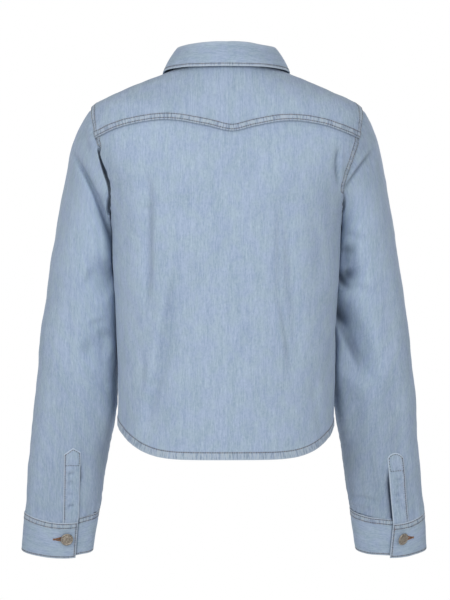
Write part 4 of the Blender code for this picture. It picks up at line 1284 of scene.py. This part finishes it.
# %% Creases of the sleeves
SLEEVE_CREASES = {
    "left": table(CREASE, (
        (1, 196, -64, 183, -104, 2, 4, 1.4, 0.5),
        (1, 206, -99, 149, -240, 8.5, 2.7, 3, 0.3),
        (1, 183, -246, 156, -256, 2, 6, 1.8, 0.5),
        (1, 183, -335, 157, -330, 3, 5, 2, 0.6),
        (1, 166, -335, 164, -390, 2, 5.5, 2.2, 0.5),
        (1, 180, -400, 156, -418, 2, 7, 1.8, -0.5),
        (1, 210, -300, 216, -430, 3, 11, 1.4, 0.5),
        (1, 224, -420, 232, -560, 2, 9, 1.2, 0.4),
        (1, 188, -470, 193, -570, 2, 7, 1.6, 0.5),
        (1, 208, -520, 210, -585, 1, 5, 1, -0.5),
        (-1, 215, -330, 170, -348, 3, 6, 2.4, 0.6),
        (-1, 235, -395, 190, -380, 3, 6, 2.4, 0.6),
        (-1, 190, -140, 162, -195, 3, 6, 2.4, 0.5),
        (-1, 230, -470, 242, -570, 2, 8, 1.4, 0.5),
        (-1, 200, -480, 208, -570, 2, 6, 1.4, -0.5),
        (1, 213, -520, 205, -520.5, 0, 2.1, 1.2, 0.7),
        (1, 213, -532.1, 203.5, -532.5, 0, 2.2, 1.8, 0.7),
        (1, 213, -545.5, 204, -544.5, 0, 2.2, 1.8, 0.7),
        (1, 213, -560, 205, -560.5, 0, 2.1, 1.4, 0.7),
        (1, 213, -576, 204, -576.5, 0, 2.2, 1.8, 0.7),
    )),
    "right": table(CREASE, (
        (1, -152, -156, -194, -99, 1, 2.7, 3.2, 0.5),
        (1, -178, -130, -199, -106, 1, 5, 1.2, 0.5),
        (1, -185, -96, -198, -112, 1, 3, 1, 0.6),
        (1, -183, -112, -196, -126, 1, 3, 1, -0.6),
        (1, -150, -210, -185, -226, 2, 7, 2.2, 0.5),
        (1, -156, -278, -193, -296, 3, 7, 2.6, 0.5),
        (1, -193, -395, -199, -425, 1, 6, 2.2, 0.5),
        (1, -156, -390, -186, -406, 2, 5.5, 1.8, -0.5),
        (1, -153, -460, -166, -464, 1, 3, 1, 0.6),
        (1, -154, -476, -168, -479, 1, 3, 1, 0.6),
        (1, -156, -493, -168, -498, 1, 3, 0.8, -0.6),
        (1, -210, -260, -220, -380, 3, 10, 1.4, 0.5),
        (1, -225, -420, -233, -550, 2, 9, 1.2, 0.4),
        (1, -192, -500, -200, -575, 2, 7, 2, 0.5),
        (1, -182, -530, -186, -583, 1, 5, 1.2, -0.5),
        (-1, -215, -330, -170, -346, 3, 6, 2.4, 0.6),
        (-1, -233, -392, -190, -376, 3, 6, 2.4, 0.6),
        (-1, -190, -140, -162, -190, 3, 6, 2.4, 0.5),
        (-1, -230, -460, -240, -560, 2, 8, 1.4, 0.5),
        (1, -238, -528.6, -230, -529.6, 0, 2.1, 1.6, 0.7),
        (1, -238, -541, -229, -542.6, 0, 2.2, 1.9, 0.7),
        (1, -238, -551.9, -230, -551.9, 0, 2.1, 1.4, 0.7),
        (1, -238, -562.5, -229.5, -562.5, 0, 2.2, 1.8, 0.7),
        (1, -238, -572, -230, -573, 0, 2.1, 1.5, 0.7),
        (1, -164, -564, -208, -573.5, -1, 3.6, 2.6, -0.9),
    )),
}
SLEEVE_SWELLS = {
    "left": table(SWELL, (
        (1, 158, -212, 10, 22, 5, 0),
        (1, 156, -260, 10, 14, -4, 0),
        (1, 156, -300, 12, 16, 3, 0),
        (1, 157, -345, 10, 9, -4, 0),
        (1, 158, -380, 10, 20, 3, 0),
    )),
    "right": table(SWELL, (
        (1, -149, -220, 9, 24, 7.5, 0),
        (1, -160, -232, 9.5, 6.5, -5.5, 0),
        (1, -156, -248, 8, 13, -3, 0),
        (1, -153, -269, 5.8, 12, -16.5, -0.4),
        (1, -162, -264, 7, 7.2, -12, 0),
        (1, -149, -295, 9, 6, 2, 0),
        (1, -152, -319, 8.8, 17, -15, -0.38),
        (1, -169, -360, 7.6, 35, -11, -0.46),
        (1, -144, -385, 10.5, 34, 13, 0),
    )),
}
FILL, FILL_TURN, FILL_WIDTH = 0.012, 160, 31      # the cloth fills out between arm and trunk
SLEEVE_TURNS = 190.0 + 360 * spaced(0.36, 0.0028)      # its columns, from the joined edge

# The sleeve openings, as turns round the sleeve: at the cuff's lower edge, at the cuff seam and
# at the top of the placket, with the placket's straight length.
Opening = namedtuple("Opening", "cuff_end cuff_seam placket_top length")
OPENINGS = {
    "left": Opening(123, 118, 108, 0.0915),
    "right": Opening(96, 85, 84, 0.082),
}
CUFF_UNDERLAP, CUFF_TUCK_FROM, CUFF_TUCK_TURN = 0.026, 40, 30

# The lapped end of a cuff hangs low, and the cuff rides up again a little further round.
CuffHang = namedtuple("CuffHang", "low high high_share")
CUFF_HANG = {"left": CuffHang(0.0052, 0.005, 0.24), "right": CuffHang(0.0062, 0.0035, 0.18)}
PLACKET_WIDTH, BUTTON_INSET, CHORD = {"left": 0.021, "right": 0.023}, 0.0145, 10
PLACKET_RISE, PLACKET_COLUMNS = {"left": 0.008, "right": 0.011}, np.linspace(0, 1, 25)


def turns_across(side, turn, run, width):
    """How many degrees of turn a width covers on a sleeve."""
    step = sleeve_point(side, turn - CHORD, run) - sleeve_point(side, turn, run)
    return CHORD * width / np.linalg.norm(step, axis=-1)


def placket_turns(side, share, across):
    """The turn at a share of the way up a placket's straight part and across it."""
    opening = OPENINGS[side]
    span = turns_across(side, float(opening.cuff_seam), CUFF_RUN, PLACKET_WIDTH[side])
    return mix(opening.cuff_seam, opening.placket_top, share) - span * across


def run_at_height(side, turns, heights):
    """The run at which the sleeve, at each turn, passes a height."""
    runs, ways = np.linspace(0.35, CUFF_RUN, 60), np.linspace(turns.min(), turns.max(), 12)
    grid = sleeve_point(side, ways[:, None], runs[None, :])[..., 2]
    found = []
    for turn, height in zip(turns.ravel(), heights.ravel()):
        k = min(int((turn - ways[0]) / (ways[1] - ways[0])), len(ways) - 2)
        column = mix(grid[k], grid[k + 1], (turn - ways[k]) / (ways[1] - ways[0]))
        found.append(np.interp(-height, -column, runs))
    return np.array(found).reshape(heights.shape)


def placket_cloth(side):
    """The strip over the opening: rows up from the cuff seam, columns from its free edge."""
    share, across = np.meshgrid(spaced(0.098, 0.003), PLACKET_COLUMNS, indexing="ij")
    turn = placket_turns(side, share, across)
    bottom = sleeve_point(side, placket_turns(side, 0.0, PLACKET_COLUMNS), CUFF_RUN)[..., 2]
    half = abs(2 * across - 1)
    top = 1 - half if side == "left" else np.sqrt(1 - (0.96 * half) ** 2)      # pointed or round
    point = PLACKET_RISE[side] * top * ease((share - 0.72) / 0.28)
    run = run_at_height(side, turn, bottom[None, :] + OPENINGS[side].length * share + point)
    return Cloth(sleeve_point(side, turn, run), sleeve_normal(side, turn, run))


def sleeve_cloth(side):
    turn, run = np.meshgrid(SLEEVE_TURNS, spaced(CUFF_RUN, 0.0028) * CUFF_RUN, indexing="xy")
    made = Cloth(sleeve_point(side, turn, run), sleeve_normal(side, turn, run), round_tube=True)
    full = ease((run - 0.09) / 0.08) * ease((CUFF_RUN - 0.06 - run) / 0.12)
    made.points[..., 1] += FILL * full * bell(turn % 360 - FILL_TURN, FILL_WIDTH)
    swell(made, SLEEVE_SWELLS[side])
    return made


def head_ways(side, sign):
    """For each column of a sleeve: the trunk's outward side at the armhole, and inward from it."""
    seam = ARM_POINTS[side]
    along = unit(np.roll(seam[:-1], -1, axis=0) - np.roll(seam[:-1], 1, axis=0))
    outs = torso_normal(arm_places[0] * sign, arm_places[1])
    out, along = (read_at(SLEEVE_TURNS % 360, arm_turns, ways)
                  for ways in (outs, np.concatenate((along, along[:1]))))
    inward = unit(np.cross(out, along))
    return out, inward * -np.sign(inward[..., 0:1]) * sign


# %% Sleeves and plackets
# CREVICE_SIZE also sets how wide the painted shade at the armhole is
CREVICE_SIZE = {"left": 0.72, "right": 0.36}      # how wide the sleeve sinks in at the armhole
FOREARM_PAINTED_SHADE = {"left": 0.1, "right": 0.18}     # painted shade on the backs of the forearms
Gape = namedtuple("Gape", "low high width depth")
GAPES = {"left": Gape(0.05, 0.084, 0.0024, 0.004), "right": Gape(-0.01, 0.078, 0.0034, 0.0055)}
HEAD_SINK, HEAD_SINK_RUN, HEAD_IN, HEAD_DOWN = 0.0016, 0.008, 0.004, 0.0004      # under the body
FOREARM_Z, FOREARM_RUN = -0.36, 0.1             # where painted shade on the backs of the forearms begins
CREVICE_Z, CREVICE_LENGTH = -0.129, 0.019         # where the sleeve sinks in most
GATHER_RUN, LAPPED_TURN, LAPPED_MORE, END_DEPTH = 0.03, 100, 0.0085, 0.0012
PLACKET_LIFT, PLACKET_TUCK, PLACKET_DROP, PLACKET_ROPE = 0.0014, 0.008, 0.0006, 0.45
plackets = {}
for side, sign in SIDES.items():
    sleeve, placket = sleeve_cloth(side), placket_cloth(side)
    roll, gape, opening = ROLLS[side], GAPES[side], OPENINGS[side]
    join, free_edge = Line(sleeve.flat[:, 0]), Line(placket.flat[:, 0])
    for cloth in (sleeve, placket):
        rumple(cloth, seed=2.0 + sign, broad=0.0013)
        crease(cloth, SLEEVE_CREASES[side])
    z = sleeve.flat[..., 2]
    # the backs of the forearms, low and turned away from their outer sides, get painted shade
    forearm = ease((FOREARM_Z - z) / FOREARM_RUN) * ease(sleeve.normals[..., 1] / 0.4)
    outside = ease((sleeve.normals[..., 0] * sign - 0.2) / 0.5)
    sleeve.mark("painted_shade", FOREARM_PAINTED_SHADE[side] * forearm * (1 - outside))

    # the head lies under the body: it sinks where both face the same way, and turns in
    away = ARM_LINES[side].near(sleeve.flat)[0]
    out, inward = head_ways(side, sign)
    same_way = ease(np.sum(out * sleeve.normals[6], axis=-1) / 0.5)
    share = rolled(side, sleeve.flat)
    thick = CREVICE_SIZE[side] * (0.35 + bell(z - CREVICE_Z, CREVICE_LENGTH)
                                  + 0.7 * ease((-0.16 - z) / 0.01))
    crevice = share * fades(away, 0.001, 0.002 + 0.0045 * thick)
    # painted shade in the crevice between sleeve and trunk, and above the rolled-in part
    sleeve.mark("painted_shade", share * fades(away, 0.0018 * thick, 0.0015 + 0.0034 * thick))
    above = ease((roll.top + 0.014 - z) / 0.006) * ease((z - roll.bottom) / 0.012)
    sleeve.mark("painted_shade", 0.9 * (above * (sleeve.flat[..., 1] > -0.01)) * fades(away, 0.001, 0.0014))
    straight = (share * ease(away / 0.0035))[..., None]
    way = unit(mix(out[None], np.array([0.0, 1.0, 0.0]), straight))
    sink = np.maximum(HEAD_SINK * fades(away, 0, HEAD_SINK_RUN) * same_way[None, :],
                      (roll.depth + 0.001) * crevice)
    sleeve.points = sleeve.points - way * sink[..., None]
    sleeve.points[0] = sleeve.points[1] + inward * HEAD_IN - out * HEAD_DOWN
    felled("sleeve_join_" + side, sleeve, join, slice(8, -8), seed=12)

    # the opening gapes a little beside the placket's free edge, and its gap gets painted shade
    away, along = free_edge.near(sleeve.flat)
    gaping = ease((along - gape.low) / 0.01) * ease((gape.high - along) / 0.03)
    sleeve.push(-gape.depth * bell(away - 0.001, gape.width) * gaping)
    wide = 0.0018 + (0.0016 * (1 - along / 0.08) if side == "right" else 0.0)
    sleeve.mark("painted_shade", fades(away, 0.0006, wide) * gaping)
    # painted shade just under the placket's free edge
    sleeve.mark("groove_shade", 0.9 * fades(away, 0, 0.0024) * (along < 0.076))

    # it is gathered into the cuff, whose lapped end covers a little more of it
    gather = ease(1 - Line(sleeve.flat[-1]).near(sleeve.flat)[0] / GATHER_RUN)
    turns = np.radians(SLEEVE_TURNS[None, :])
    sleeve.push((np.sin(turns * 23) * 0.0005 + np.sin(turns * 37 + 1) * 0.0003) * gather)
    back_by = opening.cuff_seam - SLEEVE_TURNS % 360
    end = CUFF_RUN + np.where((back_by >= 0) & (back_by < LAPPED_TURN), LAPPED_MORE, 0.0)
    sleeve.points[-1] = (sleeve_point(side, SLEEVE_TURNS, end)
                         - sleeve_normal(side, SLEEVE_TURNS, end) * END_DEPTH)

    placket.push(np.full(placket.points.shape[:2], PLACKET_LIFT))
    far_edge = Line(placket.flat[:, -1])
    fell(placket, far_edge, rows=(0.0022,), width=0.0052, height=0.0001, pucker=0.00034, seed=13)
    placket.seam *= PLACKET_ROPE
    away = np.min([line.near(placket.flat)[0]
                   for line in (free_edge, far_edge, Line(placket.flat[-1]))], axis=0)
    placket.push(0.0003 * wool(placket.flat, 0.006, 14) - 0.0007 * fades(away, 0, 0.0012))
    placket.mark("worn", fades(away, 0.0006, 0.0013))
    bottom = placket_turns(side, 0.0, PLACKET_COLUMNS)
    placket.points[0] = (sleeve_point(side, bottom, CUFF_RUN + PLACKET_TUCK)
                         - sleeve_normal(side, bottom, CUFF_RUN + PLACKET_TUCK) * PLACKET_DROP)
    plackets[side] = placket
    hang(f"{side}_sleeve_cloth", sleeve, CLOTH, DENIM_UPRIGHT, rests_on=["yoke"])
    hang(f"{side}_placket_cloth", placket, CLOTH, DENIM_UPRIGHT,
         rests_on=[f"{side}_sleeve"])

# %% [markdown]
# ## Cuffs
#
# A cuff is a strip of doubled cloth, once round the wrist and on beneath its own buttonhole
# end. All its edges are stitched, its top with two rows.

# %% Cuffs
def cuff_turn(side, share, down):
    """The turn at a share of the way round a cuff, from its buttonhole end on."""
    opening = OPENINGS[side]
    start = mix(opening.cuff_seam, opening.cuff_end, down)
    return start - (360 + turns_across(side, start, CUFF_RUN, CUFF_UNDERLAP)) * share


def cuff_cloth(side):
    opening, hanging = OPENINGS[side], CUFF_HANG[side]
    share, down = np.meshgrid(spaced(0.27, 0.0024), spaced(0.053, 0.0022), indexing="xy")
    drop = hanging.low * (1 - ease(share / hanging.high_share))
    drop -= hanging.high * bell(share - hanging.high_share, 0.13)
    turn = cuff_turn(side, share, down)
    run = mix(CUFF_RUN, SLEEVE_END, down) + drop * (1 - 0.55 * down)
    before_end = turn - (mix(opening.cuff_seam, opening.cuff_end, down) - 360)
    tuck = ease((CUFF_TUCK_FROM - before_end) / CUFF_TUCK_TURN)
    normals = sleeve_normal(side, turn, run)
    out = PROUD - (DOUBLED + 2 * SEAM_GAP) * tuck
    return Cloth(sleeve_point(side, turn, run) + normals * out[..., None], normals)


def column_share(cloth):
    """How far across the cloth each point lies, by its column."""
    return np.linspace(0, 1, cloth.points.shape[1])[None, :] + np.zeros(cloth.points.shape[:2])


EDGE_DROP, EDGE_RUN = 0.0005, 0.0012


def round_rim(cloth, aways):
    """Presses a strip's edges a little flatter, and wears them."""
    rim = np.min(aways, axis=0)
    cloth.push(-EDGE_DROP * fades(rim, 0, EDGE_RUN))
    cloth.mark("worn", fades(rim, 0.0004, EDGE_RUN))


INSIDE = slice(2, -2)      # the part of an edge that isn't round its corners
for side in SIDES:
    cuff, name = cuff_cloth(side), "cuff_" + side
    first, last = column_share(cuff) < 0.5, column_share(cuff) > 0.5
    lines = (LappedLine(cuff.flat[0]), LappedLine(cuff.flat[-1]),
             Line(cuff.flat[:, 0]), Line(cuff.flat[:, -1]))
    top, bottom, start, end = [line.near(cuff.flat)[0] for line in lines]
    # painted shade on the underlap beside the edge of the lapped end
    cuff.mark("painted_shade", 0.7 * (1 - ease((start - DOUBLED - SEAM_GAP - 0.0002) / 0.0011)) * last)
    start, end = np.where(first, start, 1.0), np.where(last, end, 1.0)
    rumple(cuff, seed=2.0 + SIDES[side], broad=0.0005, small=0.00025)
    fell(cuff, lines[0], rows=(0.002, 0.0078), width=0.0092, height=0.0003, pucker=0.00028,
         seed=15)
    for line, half in zip(lines[1:], (None, first, last)):
        fell(cuff, line, rows=(0.0026,), width=0.004, height=0.0001, pucker=0.00018, seed=16,
             only=half)
    round_rim(cuff, [top, bottom, start, end])
    plan(name, cuff, top, (0.0022, 0.0078), INSIDE, across_rows=False)
    plan(name, cuff, bottom, (0.0026,), INSIDE, across_rows=False, backwards=True)
    plan(name, cuff, start, (0.0026,), INSIDE)
    plan(name, cuff, end, (0.0026,), INSIDE, backwards=True)
    hang(f"{side}_cuff_cloth", cuff, DOUBLED, DENIM_ACROSS,
         rests_on=[f"{side}_sleeve"])

# %% [markdown]
# ## Collar and stand
#
# The stand is a doubled band round the neck, its ends lapped at the front. The collar folds
# over its top edge and falls to its own outer edge, which lies on the yoke and, at the front,
# on the two fronts.

# %% Collar and stand
STAND = table("turn height", ((0, 23.5), (45, 25.5), (90, 28.5), (135, 25), (180, 21)))
STAND_HEIGHT = columns_of(STAND, "turn")["height"]
STAND_LEAN, STAND_TUCK_FROM, STAND_TUCK_TURN = 0.145, 0.75, 0.45
COLLAR_FOLD = table("out up", ((-2, 2.7), (1.2, 3.2), (3.7, 0.6)))
COLLAR = columns_of(table("share turn level lift", (
    (0, 0, 1.2, 7), (0.2, 32, 1.2, 6.5), (0.4, 66, 3.2, 4), (0.55, 93, 3.6, 3),
    (0.7, 118, -6, 4.5), (0.85, 140, -32, 4.5), (1, 157, -60, 4.5))), "share")
LEVEL, UP = np.array((1.0, 1.0, 0.0)), np.array((0.0, 0.0, 1.0))
COLLAR_FRONT_TURN, COLLAR_BELLY = 171, 0.0015


def stand_point(turn, share, out=0.0):
    """Points on the collar stand, from the neck seam (0) to its top edge (1)."""
    turn, share, out = (np.asarray(value, float) for value in (turn, share, out))
    base = torso_point(turn, NECK_LEVEL)
    lean = (1 - STAND_LEAN * share)[..., None] * LEVEL + UP
    height = STAND_HEIGHT(abs(np.degrees(turn))) * share + SEAM_GAP
    return base * lean + height[..., None] * UP + unit(base * LEVEL) * out[..., None]


def stand_cloth():
    end = math.pi + FRONT_OVERLAP / TORSO[0].front_depth
    columns, rows = end * (2 * spaced(0.42, 0.003) - 1), np.linspace(0, 1, 15)
    turn, share = np.meshgrid(columns, rows, indexing="xy")
    tuck = -(DOUBLED + SEAM_GAP) * ease((turn - math.pi + STAND_TUCK_FROM) / STAND_TUCK_TURN)
    points = stand_point(turn, share, tuck)
    made = grid_normals(points)
    return Cloth(points, made * np.sign(np.sum((made * points)[..., :2], axis=-1))[..., None])


def collar_cloth():
    """Rows from the inside of the fold, over it and down to the outer edge."""
    shares = 2 * spaced(0.46, 0.0028) - 1
    turn, far = np.radians(COLLAR_FRONT_TURN) * shares, abs(shares)
    top = stand_point(turn, 1.0)
    along = stand_point(turn + STEP, 1.0) - stand_point(turn - STEP, 1.0)
    up = unit(np.cross(along, top * LEVEL))
    outward = unit(np.cross(up, along))
    wide = bell(abs(np.degrees(turn)) - 88, 26)[:, None]
    controls = [top + outward * (fold.out + 0.0022 * wide) + up * (fold.up - 0.001 * wide)
                for fold in COLLAR_FOLD]
    edge = np.where(shares >= 0, 1, -1) * np.radians(COLLAR["turn"](far)), COLLAR["level"](far)
    lip = torso_point(*edge) + torso_normal(*edge) * COLLAR["lift"](far)[:, None]
    for fall in (0.25, 0.5, 0.75, 1.0):
        belly = math.sin(math.pi * fall) * COLLAR_BELLY
        controls.append(mix(controls[2], lip, fall) + outward * belly)
    controls = np.array(controls)
    keys = lengths_along(controls).mean(axis=1)
    fold, fall = keys[2], keys[-1] - keys[2]
    marks = np.concatenate((np.linspace(0, fold, 7)[:-1],
                            fold + spaced(fall, 0.0024, start=False) * fall))
    flat = controls.reshape(len(keys), -1).T
    points = np.stack([curve_through(keys, line)(marks) for line in flat], -1)
    points = points.reshape(len(marks), len(shares), 3)
    out = grid_normals(points)
    return Cloth(points, -out if out[len(marks) // 2 + 2, len(shares) // 2, 1] < 0 else out)


stand, collar = stand_cloth(), collar_cloth()
for cloth, name, broad, row in ((stand, "collar_stand", 0.0004, 0.003),
                                (collar, "collar", 0.0008, 0.0038)):
    rumple(cloth, seed=20.0, broad=broad, small=0.0002)
    share = column_share(cloth)
    edges = [(cloth.flat[-1], None, False, True), (cloth.flat[:, 0], share < 0.5, True, False),
             (cloth.flat[:, -1], share > 0.5, True, True), (cloth.flat[0], None, False, False)]
    if name == "collar":
        edges.pop()
    aways = []
    for seed, (edge, half, across_rows, backwards) in enumerate(edges, start=21):
        away = fell(cloth, Line(edge), rows=(row,), width=row + 0.0012, height=0.0002,
                    pucker=0.0002, seed=seed, only=half)
        plan(name, cloth, away, (row,), INSIDE, across_rows, backwards)
        aways.append(away)
    round_rim(cloth, aways)
fold_rows = np.arange(collar.points.shape[0]) - 4
collar.mark("worn", bell(fold_rows, 3.0)[:, None] * 0.5)
hang("collar_stand_cloth", stand, DOUBLED, DENIM_ACROSS, rests_on=["yoke"])
hang("collar_cloth", collar, DOUBLED, DENIM_ACROSS, rests_on=["collar_stand"])

# %% [markdown]
# ## Placket stitching and buttonholes
#
# The placket is sewn down along its far edge and round its top, and a bar across it closes the
# box above the opening, where its other edge hangs free. A buttonhole is two narrow bars of
# satin stitch, which the button pulls open into a wedge.

# %% Plackets' stitching
BAR_DROP = 0.0245      # from the placket's highest point down to the bar
for side, placket in plackets.items():
    below = placket.flat[..., 2].max() - placket.flat[..., 2]
    box = slice(place_of(below[:, 0], BAR_DROP), -2)
    for edge, part, across_rows, backwards in (
            (placket.flat[:, 0], box, True, False), (placket.flat[:, -1], INSIDE, True, True),
            (placket.flat[-1], INSIDE, False, True)):
        plan("placket_" + side, placket, Line(edge).near(placket.flat)[0], (0.0022,), part,
             across_rows, backwards)
    plan("placket_" + side, placket, below, (BAR_DROP,), INSIDE, False, True)

SATIN_PITCH, HOLE_LIFT, HOLE_PROUD, HOLE_REACH = 0.0005, 0.0002, 0.0003, 0.0175


def buttonhole(start, end, out, gaps=(0.00085, 0.00085), bars=(0.0017, 0.0017), swell_out=0.0):
    """Two satin bars from start to end, with a tack at each end. gaps are the bars' distances
    from the middle line at start and end, and bars their widths there. The middle stands out
    by swell_out, to follow round cloth."""
    run, length = unit(end - start), float(np.linalg.norm(end - start))
    aside = unit(np.cross(out, run))
    count = int(length / SATIN_PITCH)
    marks = (np.arange(count) + 0.5) * length / count
    share = marks / length
    arched = 4 * swell_out * share * (1 - share) + HOLE_LIFT
    rows = []
    for way in (1, -1):
        middles = (start + run * marks[:, None] + aside * way * mix(*gaps, share)[:, None]
                   + out * arched[:, None])
        rows.append((middles, np.tile(aside, (count, 1)), np.tile(out, (count, 1)),
                     mix(*bars, share)))
    for place in (start, end):
        middles = place + aside * np.linspace(-0.0011, 0.0011, 5)[:, None] + out * HOLE_LIFT
        rows.append((middles, np.tile(run, (5, 1)), np.tile(out, (5, 1)), np.full(5, 0.0019)))
    return rows


# %% [markdown]
# ## Buttons
#
# A shank button: a turned cap with a rolled rim and a dished, plain face, on a short neck.

# %% Buttons and buttonholes
BUTTON_FACE = table("radius height", (
    (0, 0), (3.6, 0), (3.4, 0.8), (3.4, 1.8), (4, 2.3), (7.6, 2.5), (8.3, 2.9), (8.5, 3.5),
    (8.3, 4.1), (7.7, 4.5), (7, 4.6), (6.4, 4.3), (6.1, 3.8), (5.6, 3.7), (4.8, 4.1), (3.6, 4.5),
    (2, 4.8), (0, 4.9),
))
FRONT_BUTTON_Z = (-0.1, -0.172, -0.244, -0.316, -0.388, -0.46)


def button(name, point, outward, tilt=(0.0, 0.0)):
    """A button standing on a point; tilt leans it over, in radians."""
    turned = bmesh.new()
    line = [turned.verts.new((ring.radius, 0, ring.height)) for ring in BUTTON_FACE]
    edges = [turned.edges.new(pair) for pair in zip(line, line[1:])]
    bmesh.ops.spin(turned, geom=line + edges, cent=(0, 0, 0), axis=(0, 0, 1),
                   angle=2 * math.pi, steps=40, use_merge=True)
    bmesh.ops.remove_doubles(turned, verts=turned.verts, dist=1e-6)
    bmesh.ops.recalc_face_normals(turned, faces=turned.faces)
    facing = Vector(outward).to_track_quat("Z", "Y").to_matrix()
    lean = Matrix.Rotation(tilt[0], 3, "X") @ Matrix.Rotation(tilt[1], 3, "Y")
    bmesh.ops.transform(turned, matrix=(facing @ lean).to_4x4(), verts=turned.verts)
    bmesh.ops.translate(turned, vec=Vector(point) + Vector(outward) * SEAM_GAP, verts=turned.verts)
    mesh = bpy.data.meshes.new(name)
    turned.to_mesh(mesh)
    turned.free()
    piece = as_piece(name, mesh, METAL)
    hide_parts(name.removesuffix("_metal"))


front = np.array(math.pi)
rows = []
for i, height in enumerate(FRONT_BUTTON_Z, start=1):
    level = level_at(front, lambda _, z=height: z)
    point, out = torso_point(front, level), torso_normal(front, level)
    button(f"front_button_{i}_metal", point + out * PROUD, out)
    on_top, down = point + out * (PROUD + HOLE_PROUD), np.array((0, 0, -0.0125))
    rows += buttonhole(on_top - down * 0.25, on_top + down, out)
holes = {"front": rows}
rise = stand_point(front, 1.0) - stand_point(front, 0.0)
button("collar_button_metal", stand_point(front, 0.5), Vector((0, -rise[2], rise[1])).normalized())
for side, tilt in (("left", (0.0, 0.0)), ("right", (0.1, 0.45))):
    run, edge = mix(CUFF_RUN, SLEEVE_END, 0.5), cuff_turn(side, 0.0, 0.5)
    turn = edge - turns_across(side, edge, run, BUTTON_INSET)
    tail = turn - turns_across(side, turn, run, HOLE_REACH)
    point, out = sleeve_point(side, turn, run), sleeve_normal(side, turn, run)
    button(f"{side}_cuff_button_metal", point + out * PROUD, out, tilt)
    far = sleeve_point(side, tail, run) + sleeve_normal(side, tail, run) * (PROUD + HOLE_PROUD)
    holes[side] = buttonhole(point + out * (PROUD + HOLE_PROUD), far, out,
                             (0.0029, 0.0004), (0.005, 0.001), 0.0009)
for name, rows in holes.items():
    sew(f"buttonholes_{name}", rows, width=0.00055, lift=0.0009, finish=RUST_THREAD)

# %% [markdown]
# ## Sew the seams
#
# Every row listed above is followed along its own piece and filled with stitches.

# %% Seams into stitches
by_name = {}
for name, *row in sewn:
    by_name.setdefault(name, []).append(stitches(*row_on(*row)))
for name, rows in by_name.items():
    sew(f"stitching_{name}", rows)

# %% [markdown]
# ## The dressed shirt's size

# %% Sizes
low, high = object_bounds()
print("dressed box in mm:", [round((b - a) * 1000) for a, b in zip(low, high)])
